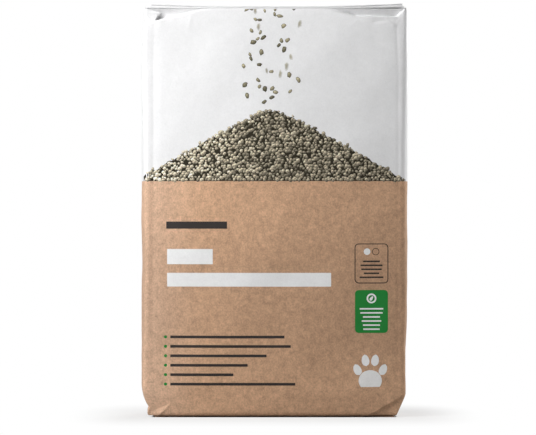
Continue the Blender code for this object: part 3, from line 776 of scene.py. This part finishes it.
def paper_material(name, colour, mottle=0.05, roughness=0.85, bump=0.25, fibre=1.0, specular=0.3):
    """Paper with a mottled colour, short fibres and a fine rough surface."""
    made = bpy.data.materials.new(name)
    made.use_nodes = True
    tree = made.node_tree
    shader = tree.nodes["Principled BSDF"]
    place = tree.nodes.new("ShaderNodeTexCoord").outputs["Object"]
    paint = paper_colour(tree, place, colour, mottle, fibre)
    settings = {"Roughness": roughness, "Specular IOR Level": specular, "Base Color": paint}
    for key, value in (*settings.items(), ("Normal", paper_bump(tree, place, bump))):
        feed(tree, shader.inputs[key], value)
    return made


def paper_colour(tree, place, colour, mottle, fibre):
    """Colour output of a paper: the given colour, with clouds, specks and short fibres of the same hue."""
    stretched = node(tree, "ShaderNodeMapping", Vector=place, Scale=FIBRE_STRETCH).outputs["Vector"]
    sources = (
        (noise_output(tree, place, *CLOUDS), CLOUD_WEIGHT),
        (noise_output(tree, place, *SPECKS), SPECK_WEIGHT),
        (noise_output(tree, stretched, *FIBRES), FIBRE_WEIGHT * fibre),
    )
    level = None
    for source, weight in sources:
        swing = weight * mottle * 2.0
        centred = maths(tree, "MULTIPLY_ADD", source, 2.0 * swing, -swing)
        level = centred if level is None else maths(tree, "ADD", level, centred)
    return vector_maths(tree, "SCALE", colour, maths(tree, "ADD", level, 1.0))


def paper_bump(tree, place, strength):
    grain = noise_output(tree, place, *GRAIN_BUMP)
    crumple = noise_output(tree, place, *CRUMPLE_BUMP)
    fine = node(tree, "ShaderNodeBump", Strength=strength, Distance=GRAIN_HEIGHT, Height=grain)
    wide = node(tree, "ShaderNodeBump", Strength=CRUMPLE_STRENGTH, Distance=CRUMPLE_HEIGHT, Height=crumple)
    feed(tree, wide.inputs["Normal"], fine.outputs["Normal"])
    return wide.outputs["Normal"]


def sack_material():
    """White printed paper above the print's edge and bare kraft below it."""
    made = paper_material("sack_paper", WHITE, mottle=WHITE_MOTTLE)
    tree = made.node_tree
    paint = tree.nodes["Principled BSDF"].inputs["Base Color"]
    white = paint.links[0].from_socket
    place = next(n for n in tree.nodes if n.type == "TEX_COORD").outputs["Object"]
    parts = node(tree, "ShaderNodeSeparateXYZ", Vector=place).outputs
    # the bare kraft carries painted light, painted sheen and painted shade
    kraft = kraft_painted_light(tree, paper_colour(tree, place, KRAFT, KRAFT_MOTTLE, 1.0), parts["X"], parts["Z"])
    above = maths(tree, "GREATER_THAN", parts["Z"], PRINT_EDGE)
    feed(tree, paint, mixed(tree, "RGBA", above, kraft, white))
    return made


def kraft_painted_light(tree, colour, x, z):
    """The colour with painted light on the kraft: lighter and paler towards the blank end, with a broad band of
    painted shade, from the outputs for X and Z.
    """
    # a broad band of painted shade low on the kraft
    start, full, last, gone = KRAFT_PAINTED_SHADE_BAND
    band = maths(tree, "MULTIPLY", map_range(tree, z, start, full), map_range(tree, z, last, gone, 1.0, 0.0))
    # painted light: the kraft lighter towards the blank end and darker towards the valve end
    lean = maths(tree, "MULTIPLY_ADD", x, KRAFT_PAINTED_LIGHT_LEAN, 1.0 + KRAFT_PAINTED_SHADE / 3)
    level = maths(tree, "MULTIPLY_ADD", band, -KRAFT_PAINTED_SHADE, lean)
    # painted sheen: the kraft paler towards the blank end
    hue = mixed(tree, "VECTOR", map_range(tree, x, *KRAFT_PAINTED_SHEEN_ENDS), PLAIN_WHITE, KRAFT_PAINTED_SHEEN)
    return vector_maths(tree, "MULTIPLY", vector_maths(tree, "SCALE", colour, level), hue)


def ink_material(name, specular=0.3):
    """Printing ink on paper, a little uneven."""
    return paper_material(name, INKS[name], mottle=0.03, roughness=0.7, bump=0.2, fibre=0.5, specular=specular)


def grain_material():
    """Ink that takes each granule's shade from the mesh."""
    made = paper_material("granule_print", PLAIN_WHITE, mottle=0.06, specular=0.05)
    tree = made.node_tree
    paint = tree.nodes["Principled BSDF"].inputs["Base Color"]
    shade = tree.nodes.new("ShaderNodeAttribute")
    shade.attribute_name = "shade"
    feed(tree, paint, vector_maths(tree, "MULTIPLY", paint.links[0].from_socket, shade.outputs["Color"]))
    return made


LAYER = 0.07 * MM  # height of each layer of print above the one below
PRINT_TOP = BODY_HEIGHT - 0.3 * MM  # the granules end just under the top fold


class Print:
    """Flat shapes of one ink that lie on the front panel."""

    def __init__(self):
        self.points, self.faces = [], []

    def grid(self, rows, layer):
        """Adds a grid of (x, z) rows, lowest first and each from left to right."""
        grid = grid_faces(len(self.points), len(rows), len(rows[0]))
        self.faces += [(a, d, c, b) for a, b, c, d in grid]
        self.points += [(x, z, layer) for row in rows for x, z in row]

    def block(self, x0, x1, z0, z1, layer=1, corner=0.0, step=2.0 * MM):
        """A rectangle, with rounded corners if corner isn't 0."""
        levels = set(np.linspace(z0 + corner, z1 - corner, max(2, int((z1 - z0 - 2 * corner) / step) + 1)))
        insets = {}
        if corner:
            for turn in np.linspace(0.0, math.pi / 2, 5):
                inset = corner * (1 - math.sin(turn))
                for level in (z0 + corner * (1 - math.cos(turn)), z1 - corner * (1 - math.cos(turn))):
                    levels.add(level)
                    insets[level] = inset
        across_count = max(2, int((x1 - x0) / step) + 1)
        rows = []
        for level in sorted(levels):
            inset = insets.get(level, 0.0)
            rows.append([(x, level) for x in np.linspace(x0 + inset, x1 - inset, across_count)])
        self.grid(rows, layer)

    def egg(self, x, z, half_x, half_z, layer=1, lean=0.0, narrow=0.0, steps=9):
        """An ellipse that may lean and narrow towards its top."""
        rows = []
        for level in np.linspace(-0.999, 0.999, steps):
            reach = math.sqrt(1 - level * level) * (1 - narrow * level)
            row = []
            for share in np.linspace(-1.0, 1.0, 5):
                u, v = half_x * reach * share, half_z * level
                row.append((x + u * math.cos(lean) + v * math.sin(lean), z - u * math.sin(lean) + v * math.cos(lean)))
            rows.append(row)
        self.grid(rows, layer)

    def band(self, loop, width, layer=1):
        """A closed outline of the given width, where loop is a list of (x, z) anticlockwise."""
        count = len(loop)
        start = len(self.points)
        for i in range(count):
            before, here, after = loop[i - 1], loop[i], loop[(i + 1) % count]
            run = after[0] - before[0], after[1] - before[1]
            length = math.hypot(*run) or 1.0
            normal = run[1] / length, -run[0] / length
            for side in (0.5, -0.5):
                self.points.append((here[0] + side * width * normal[0], here[1] + side * width * normal[1], layer))
        for i in range(count):
            a, b = start + 2 * i, start + 2 * ((i + 1) % count)
            self.faces.append((a, b, b + 1, a + 1))

    def build(self, name, material):
        flat = np.array(self.points)
        y = front_y(flat[:, 0], flat[:, 1]) - LAYER * flat[:, 2]
        points = np.stack([flat[:, 0], y, flat[:, 1]], axis=1)
        return make_object(name, points, self.faces, [material])


def rounded_loop(x0, x1, z0, z1, corner, step=2.5 * MM):
    """Points of a rounded rectangle, anticlockwise seen from the front."""
    loop = []
    left, right, bottom, top = x0 + corner, x1 - corner, z0 + corner, z1 - corner
    corners = ((right, bottom, -90), (right, top, 0), (left, top, 90), (left, bottom, 180))
    for x, z, first in corners:
        for turn in np.linspace(first, first + 90, 6):
            angle = math.radians(turn)
            loop.append((x + corner * math.cos(angle), z + corner * math.sin(angle)))
    full = []
    for here, after in zip(loop, loop[1:] + loop[:1]):
        length = math.dist(here, after)
        parts = max(1, int(length / step))
        run_x, run_z = after[0] - here[0], after[1] - here[1]
        full += [(here[0] + run_x * k / parts, here[1] + run_z * k / parts) for k in range(parts)]
    return full


def circle_loop(x, z, radius, steps=24):
    turns = [2 * math.pi * k / steps for k in range(steps)]
    return [(x + radius * math.cos(turn), z + radius * math.sin(turn)) for turn in turns]


# Plain printed bars: left, right, bottom and top in millimetres
DARK_BARS = ((-121, -53, 210.8, 218.8),)
WHITE_BARS = ((-120, -69, 171.2, 188.2), (-120, 63, 146.2, 161.6))
LIST_TOP = 90.0  # height of the middle of the list's upper line
LIST_STEP = 10.55
LIST_HALF = 1.5
LIST_ENDS = (11, 18, -9, -30, -46, 23)
LIST_LEFT = -116.5
BULLET_X, BULLET = -121.8, 1.8

# Badges, in millimetres: sides, bottom and top, and each one's mark and rows under its top
BADGE_LEFT, BADGE_RIGHT = 89.7, 126.6
BADGE_CORNER = 4.2
BADGE_LINES = (150.2, 193.8)
BADGE_GREEN = (94.4, 142.4)
DOTS_DROP, DOT, DOT_LEFT, DOT_RIGHT = 8.6, 3.7, 5.0, 4.7
LINES_ROWS = (19.4, 4.45, (19, 24.6, 23, 17.4, 26.8))  # first row, step and widths
MARK_DROP, MARK_RADIUS, LEAF = 9.4, 4.6, (1.5, 3.0)
GREEN_ROWS = (21.0, 4.55, (26.4, 25, 19, 21.8, 19, 18.4))
ROW_HALF = 0.85
BADGE_STROKE, DOT_STROKE, MARK_STROKE = 0.95, 0.7, 1.9

# Paw, in millimetres: toes as x, z and lean, then the pad
TOES = ((92.4, 53.4, -0.42), (101.4, 63.8, -0.14), (112.2, 63.8, 0.14), (121.2, 53.4, 0.42))
TOE = (4.3, 6.6)
PAD_X, PAD_Z, PAD_HALF_X, PAD_HALF_Z = 106.8, 43.4, 12.6, 9.4

# Printed heap, in millimetres
HEAP_TOP = 82.0  # height of the printed heap over the print's edge
HEAP_HALF = 147.0
HEAP_MIDDLE = -4.0
HEAP_REACH = 146.5
GRAIN = 4.1  # pitch of the printed granules
HEAP_SEED, FALL_SEED = 5, 29
HEAP_COLUMNS, ROW_PITCH = 37, 0.78  # columns to each side of the middle, height of a row in GRAIN
EMPTY_SHARE = 0.03  # places in the heap without a granule
WOBBLE, TURN_WOBBLE = (0.78, 1.14), 0.2  # how uneven a granule's corners are
GRAIN_SHIFT, GRAIN_RISE = 0.2, 0.4  # how far its middle lies to the upper left, and over its rim
LIGHTEST = 0.88
GRAIN_TONE, LIT_TONE = 0.315, 0.33  # and how much lighter they are near the light
LIT_START, LIT_LENGTH = -15.0, 110.0
TONES, TONE_SHARES = (0.45, 0.75, 1.0, 1.3, 1.75), (0.14, 0.22, 0.3, 0.22, 0.12)
GREIGE, OLIVE = (1.14, 1.0, 0.73), (1.12, 1.0, 0.66)  # hues of the granules in the heap and above it
FALLING = 44
FALL_START, FALL_HEIGHT, FALL_HALF = 6, 106, 33
SMEAR = ((1.0, 0.12), (0.84, 0.35), (0.66, 0.6), (0.45, 0.8))  # sizes and strengths of a smeared granule
SMEARED, DARK_ONES = 0.26, 0.5  # share of them that is smeared, and with the dark ones


def plain_bar(print_, x0, x1, z0, z1):
    print_.block(x0 * MM, x1 * MM, z0 * MM, z1 * MM, corner=0.5 * MM)


def badge_rows(print_, middle, top, drop, step, widths, layer):
    half = ROW_HALF * MM
    for number, width in enumerate(widths):
        level = top - drop * MM - number * step * MM
        print_.block(middle - width / 2 * MM, middle + width / 2 * MM, level - half, level + half, layer=layer)


def make_lines():
    dark, white, green = Print(), Print(), Print()
    for bar in DARK_BARS:
        plain_bar(dark, *bar)
    for bar in WHITE_BARS:
        plain_bar(white, *bar)
    for number, end in enumerate(LIST_ENDS):
        level = LIST_TOP - LIST_STEP * number
        plain_bar(dark, LIST_LEFT, end, level - LIST_HALF, level + LIST_HALF)
        green.egg(BULLET_X * MM, level * MM, BULLET * MM, BULLET * MM)
    left, right, corner = BADGE_LEFT * MM, BADGE_RIGHT * MM, BADGE_CORNER * MM
    middle = (left + right) / 2
    low, high = (value * MM for value in BADGE_LINES)
    dark.band(rounded_loop(left, right, low, high, corner), BADGE_STROKE * MM)
    dots = high - DOTS_DROP * MM
    white.egg(middle - DOT_LEFT * MM, dots, DOT * MM, DOT * MM, steps=13)
    dark.band(circle_loop(middle + DOT_RIGHT * MM, dots, DOT * MM), DOT_STROKE * MM)
    badge_rows(dark, middle, high, *LINES_ROWS, layer=1)
    low, high = (value * MM for value in BADGE_GREEN)
    green.block(left, right, low, high, corner=corner)
    mark = high - MARK_DROP * MM
    white.band(circle_loop(middle, mark, MARK_RADIUS * MM), MARK_STROKE * MM, layer=2)
    white.egg(middle, mark, LEAF[0] * MM, LEAF[1] * MM, layer=2, lean=0.6, narrow=0.3)
    badge_rows(white, middle, high, *GREEN_ROWS, layer=2)
    return dark, white, green


def make_paw():
    """A plain paw pictogram: four toes and a pad."""
    paw = Print()
    for x, z, lean in TOES:
        paw.egg(x * MM, z * MM, TOE[0] * MM, TOE[1] * MM, lean=lean, narrow=0.12)
    outline = []
    for level in np.linspace(-1.0, 1.0, 15):
        z = (PAD_Z + PAD_HALF_Z * level) * MM
        reach = (PAD_HALF_X * math.sqrt(max(0.0, 1 - ((level + 0.25) / 1.26) ** 2)) + 0.4) * MM
        outline.append([(PAD_X * MM + reach * share, z) for share in np.linspace(-1, 1, 13)])
    paw.grid(outline, 1)
    return paw


def heap_height(x):
    """Height of the printed heap's outline over the print's edge, x in millimetres."""
    slope = max(0.04, 1.0 - (math.hypot(x - HEAP_MIDDLE, 14.0) - 10.0) / HEAP_HALF)
    return HEAP_TOP * slope + 0.9 * math.sin(0.31 * x + 1.0) + 0.7 * math.sin(0.73 * x)


class Grains:
    """Printed granules of flat facets, lighter on their upper left."""

    def __init__(self, seed):
        self.rng = np.random.default_rng(seed)
        self.points, self.faces, self.shades = [], [], []

    def grain(self, x, z, reach, narrow, turn, layer, bands, contrast=0.45, sides=8):
        """One granule of rings of facets. bands gives each ring's outer size and colour, from the rim in."""
        wobble = self.rng.uniform(*WOBBLE, sides)
        angles = 2 * math.pi * (np.arange(sides) + self.rng.uniform(-TURN_WOBBLE, TURN_WOBBLE, sides)) / sides
        u, v = reach * wobble * np.cos(angles), reach * narrow * wobble * np.sin(angles)
        along = u * math.cos(turn) - v * math.sin(turn)
        up = u * math.sin(turn) + v * math.cos(turn)
        shift = GRAIN_SHIFT * reach * narrow
        start = len(self.points)
        for size, _ in bands:
            for a, b in zip(along, up):
                off, rise = shift * (1.0 - size), GRAIN_RISE * (1.0 - size)
                self.points.append((x - off + size * a, z + off + size * b, layer + rise))
        middle = len(self.points)
        self.points.append((x - shift, z + shift, layer + GRAIN_RISE))
        for number, (_, colour) in enumerate(bands):
            for k in range(sides):
                after = (k + 1) % sides
                out_x, out_z = along[k] + along[after], up[k] + up[after]
                light = (0.85 * out_z - 0.5 * out_x) / (math.hypot(out_x, out_z) or 1.0)
                level = (1.0 + contrast * light) * self.rng.uniform(0.92, 1.08)
                a, b = start + number * sides + k, start + number * sides + after
                last = number + 1 == len(bands)
                self.faces.append((a, b, middle) if last else (a, b, b + sides, a + sides))
                self.shades.append([min(LIGHTEST, level * part) for part in colour])

    def build(self, name, material):
        flat = np.array(self.points)
        x, z = flat[:, 0] * MM, flat[:, 1] * MM
        cut = z > PRINT_TOP  # granules that cross the top fold end there
        z = np.minimum(z, PRINT_TOP)
        kept = [number for number, face in enumerate(self.faces) if not all(cut[list(face)])]
        y = front_y(x, z) - LAYER * flat[:, 2]
        points, faces = np.stack([x, y, z], axis=1), [self.faces[k] for k in kept]
        made = make_object(name, points, faces, [material], smooth=False)
        layer = made.data.attributes.new("shade", "FLOAT_COLOR", "CORNER")
        values = np.ones((len(made.data.loops), 4))
        for polygon in made.data.polygons:
            for loop in polygon.loop_indices:
                values[loop, :3] = self.shades[kept[polygon.index]]
        layer.data.foreach_set("color", values.ravel())
        return made


def tint(hue, tone):
    return [tone * part for part in hue]


def make_heap(gap_material):
    """The printed heap of granules on its dark backing."""
    edge = PRINT_EDGE / MM
    backing = Print()
    xs = np.linspace(-HEAP_REACH, HEAP_REACH, 130)
    rows = []
    for share in np.linspace(0.0, 1.0, 26):
        rows.append([(x * MM, (edge + max(0.8, heap_height(x) - 2.2) * share) * MM) for x in xs])
    backing.grid(rows, 1)
    base = backing.build("heap_gap_print", gap_material)
    grains = Grains(HEAP_SEED)
    rng = grains.rng
    row, z = 0, edge + HEAP_TOP + 2
    while z > edge:
        for column in range(-HEAP_COLUMNS, HEAP_COLUMNS + 1):
            x = (column + 0.5 * (row % 2) + rng.uniform(-0.3, 0.3)) * GRAIN
            level = max(z + rng.uniform(-0.28, 0.28) * GRAIN, edge + 1.5)
            outside = abs(x) > HEAP_REACH - 1.5 or level - edge > heap_height(x) - 0.6
            if outside or rng.uniform() < EMPTY_SHARE:
                continue
            near_light = min(max((LIT_START - x) / LIT_LENGTH, 0.0), 1.0)
            tone = (GRAIN_TONE + LIT_TONE * near_light) * rng.choice(TONES, p=TONE_SHARES)
            reach = GRAIN * rng.uniform(0.42, 0.78)
            bands = ((1.0, tint(GREIGE, 0.7 * tone)), (0.62, tint(GREIGE, 1.15 * tone)))
            layer = 2 + 0.05 * row + 0.02 * (column % 2)
            narrow, turn, sides = rng.uniform(0.5, 0.95), rng.uniform(0, 6.3), rng.integers(5, 9)
            grains.grain(x, level, reach, narrow, turn, layer, bands, contrast=0.62, sides=sides)
        z -= GRAIN * ROW_PITCH
        row += 1
    return base, grains


def scatter_falling(grains):
    """Granules on their way down, some crisp and some smeared by their speed."""
    rng = np.random.default_rng(FALL_SEED)
    edge = PRINT_EDGE / MM
    placed = []
    tries = 0
    while len(placed) < FALLING and tries < 4000:
        tries += 1
        z = edge + HEAP_TOP + FALL_START + FALL_HEIGHT * rng.uniform(0, 1)
        x = HEAP_MIDDLE + 1 + rng.uniform(-FALL_HALF, FALL_HALF)
        reach = rng.uniform(2.5, 4.2)
        if any(math.dist((x, z), other[:2]) < 0.82 * (reach + other[2]) for other in placed):
            continue
        placed.append((x, z, reach))
        kind = rng.uniform()
        turn = rng.uniform(0, 3.2)
        if kind < SMEARED:
            tone = rng.uniform(0.24, 0.34)
            bands = [(size, [tone * share * part + 0.8 * (1 - share) for part in OLIVE]) for size, share in SMEAR]
            grains.grain(x, z, 1.35 * reach, 0.5, rng.uniform(1.2, 1.9), 1, bands, contrast=0.04, sides=10)
            continue
        tone = rng.uniform(0.13, 0.2) if kind < DARK_ONES else rng.uniform(0.25, 0.4)
        bands = ((1.0, tint(OLIVE, 0.4 * tone)), (0.76, tint(OLIVE, tone)), (0.42, tint(OLIVE, 1.25 * tone)))
        grains.grain(x, z, reach, rng.uniform(0.5, 0.78), turn, 1, bands, contrast=0.3, sides=9)


AMBIENT = 0.05
LAMPS = {  # azimuth, elevation, distance, size and power
    "key": (-50, 31, 1.15, 0.8, 12.3),
    "left": (-88, 8, 1.8, 0.9, 1.2),
    "front_left": (-40, 25, 2.0, 1.2, 5.3),
    "front_high": (-10, 60, 2.2, 1.5, 4.0),
    "right": (92, 10, 2.0, 1.0, 18.0),
    "back": (160, 25, 3.0, 1.4, 50.0),
}
LIT_PLACE = (0.0, 0.0, 0.2)
FLOOR_REACH = 30.0
SHADOW_SHARE = 0.38  # how much of the floor's own shading the camera sees near the sack
SHADOW_NEAR, SHADOW_FAR = 0.0, 0.21  # it fades out between these distances from the sack
SHADOW_NARROW = 2.4  # and that many times faster along X
CONTACT = 0.003  # the whole shading shows at the foot, and fades out over this distance from it
CONTACT_INSET = 14 * MM  # how far the foot's ends stand in from the sack's sides
FLOOR_SHOWN = 0.66
FLOOR_BOUNCE = 0.38


def area_light(name, azimuth, elevation, distance, size, power):
    """A soft panel of light that faces the sack. Azimuth 0 is in front, and 90 on the sack's right."""
    data = bpy.data.lights.new(name, "AREA")
    data.shape = "DISK"
    data.size = size
    data.energy = power
    lamp = new_object(name, data)
    a, e = math.radians(azimuth), math.radians(elevation)
    out = (math.sin(a) * math.cos(e), -math.cos(a) * math.cos(e), math.sin(e))
    lamp.location = [LIT_PLACE[k] + distance * out[k] for k in range(3)]
    lamp.rotation_euler = (math.radians(90) - e, 0.0, a)
    lamp.visible_camera = False


def grey(level):
    return (level, level, level, 1.0)


def blended(tree, share, first, second):
    """Output of a mix of two shaders."""
    made = node(tree, "ShaderNodeMixShader", Fac=share)
    feed(tree, made.inputs[1], first)
    feed(tree, made.inputs[2], second)
    return made.outputs[0]


def make_world():
    """A white backdrop that lights the scene only a little."""
    world = bpy.data.worlds.new("studio")
    bpy.context.scene.world = world
    world.use_nodes = True
    tree = world.node_tree
    tree.nodes.clear()
    rays = tree.nodes.new("ShaderNodeLightPath").outputs
    seen = node(tree, "ShaderNodeBackground", Color=grey(1.0), Strength=1.0)
    ambient = node(tree, "ShaderNodeBackground", Color=grey(1.0), Strength=AMBIENT)
    shown = maths(tree, "MAXIMUM", rays["Is Camera Ray"], rays["Is Glossy Ray"])
    shown = maths(tree, "MAXIMUM", shown, rays["Is Transmission Ray"])
    surface = blended(tree, shown, ambient.outputs[0], seen.outputs[0])
    node(tree, "ShaderNodeOutputWorld", Surface=surface)


def outside_box(tree, place, half_x, half_y, stretch=1.0):
    """Distance from a box round the origin, with distances along X taken times the stretch."""
    beyond = vector_maths(tree, "SUBTRACT", vector_maths(tree, "ABSOLUTE", place), (half_x, half_y, 0.0))
    beyond = vector_maths(tree, "MAXIMUM", beyond, (0.0, 0.0, 0.0))
    return vector_maths(tree, "LENGTH", vector_maths(tree, "MULTIPLY", beyond, (stretch, 1.0, 0.0)))


def make_floor():
    """A pale floor that keeps the sack's soft shadow and is white further out."""
    data = bpy.data.meshes.new("floor")
    corners = [(x * FLOOR_REACH, y * FLOOR_REACH, 0) for x, y in ((-1, -1), (1, -1), (1, 1), (-1, 1))]
    data.from_pydata(corners, [], [(0, 1, 2, 3)])
    made = bpy.data.materials.new("pale_floor")
    made.use_nodes = True
    tree = made.node_tree
    tree.nodes.clear()
    place = tree.nodes.new("ShaderNodeTexCoord").outputs["Object"]
    from_sack = outside_box(tree, place, WIDTH / 2, END_DEPTH / 2, SHADOW_NARROW)
    from_foot = outside_box(tree, place, WIDTH / 2 - CONTACT_INSET, END_DEPTH / 2)
    fade = map_range(tree, from_sack, SHADOW_NEAR, SHADOW_FAR, SHADOW_SHARE, 0.0)
    contact = map_range(tree, from_foot, 0.0, CONTACT, 1.0, 0.0, smooth=False)
    white = node(tree, "ShaderNodeEmission", Color=grey(1.0), Strength=1.0).outputs[0]
    shaded = node(tree, "ShaderNodeBsdfDiffuse", Color=grey(FLOOR_SHOWN)).outputs[0]
    bounce = node(tree, "ShaderNodeBsdfDiffuse", Color=grey(FLOOR_BOUNCE)).outputs[0]
    seen = blended(tree, maths(tree, "MAXIMUM", fade, contact), white, shaded)
    camera_ray = tree.nodes.new("ShaderNodeLightPath").outputs["Is Camera Ray"]
    node(tree, "ShaderNodeOutputMaterial", Surface=blended(tree, camera_ray, bounce, seen))
    data.materials.append(made)
    new_object("floor", data)


def make_camera():
    data = bpy.data.cameras.new("camera")
    data.sensor_width = SENSOR
    data.lens = SENSOR * CAMERA_DISTANCE / VIEW_WIDTH
    data.clip_end = 100.0
    camera = new_object("camera", data)
    camera.location = (CAMERA_X, -CAMERA_DISTANCE, CAMERA_HEIGHT)
    camera.rotation_euler = (math.radians(90), 0.0, 0.0)
    bpy.context.scene.camera = camera


def carry(piece, replaces=()):
    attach(piece, "root")
    if replaces:
        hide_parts(*replaces)
    return piece


def main():
    bpy.context.scene.view_settings.view_transform = "Standard"
    make_camera()
    make_world()
    make_floor()
    for name, settings in LAMPS.items():
        area_light(name, *settings)

    paper = sack_material()
    white = paper_material("white_cover_paper", WHITE, mottle=COVER_MOTTLE)
    kraft = paper_material("kraft_cover_paper", KRAFT, mottle=HIDDEN_MOTTLE)
    sleeve = paper_material("sleeve_paper", SLEEVE_KRAFT, mottle=HIDDEN_MOTTLE)
    skin = make_skin([paper])
    carry(skin, ["sack"])
    carry(make_flap("front_flap_paper", -1, FRONT_FLAP_EDGE, [white]), ["sack"])
    carry(make_flap("back_flap_paper", 1, BACK_FLAP_EDGE, [white]), ["sack"])
    carry(make_tuck("blank_tuck_paper", -1, [white]), ["sack"])
    carry(make_tuck("valve_tuck_paper", 1, [white]), ["sack"])
    carry(make_top_cover([white]), ["top_cover_sheet"])
    carry(make_bottom_cover([kraft]), ["bottom_cover_sheet"])
    carry(make_sleeve([sleeve]), ["valve_sleeve"])

    dark, pale, green = make_lines()
    carry(dark.build("dark_print", ink_material("dark_ink")))
    carry(pale.build("white_print", ink_material("white_ink")))
    carry(green.build("green_print", ink_material("green_ink")))
    carry(make_paw().build("paw_print", ink_material("pale_ink")))
    base, grains = make_heap(ink_material("gap_ink", specular=0.05))
    scatter_falling(grains)
    carry(base)
    carry(grains.build("granule_print", grain_material()))


main()
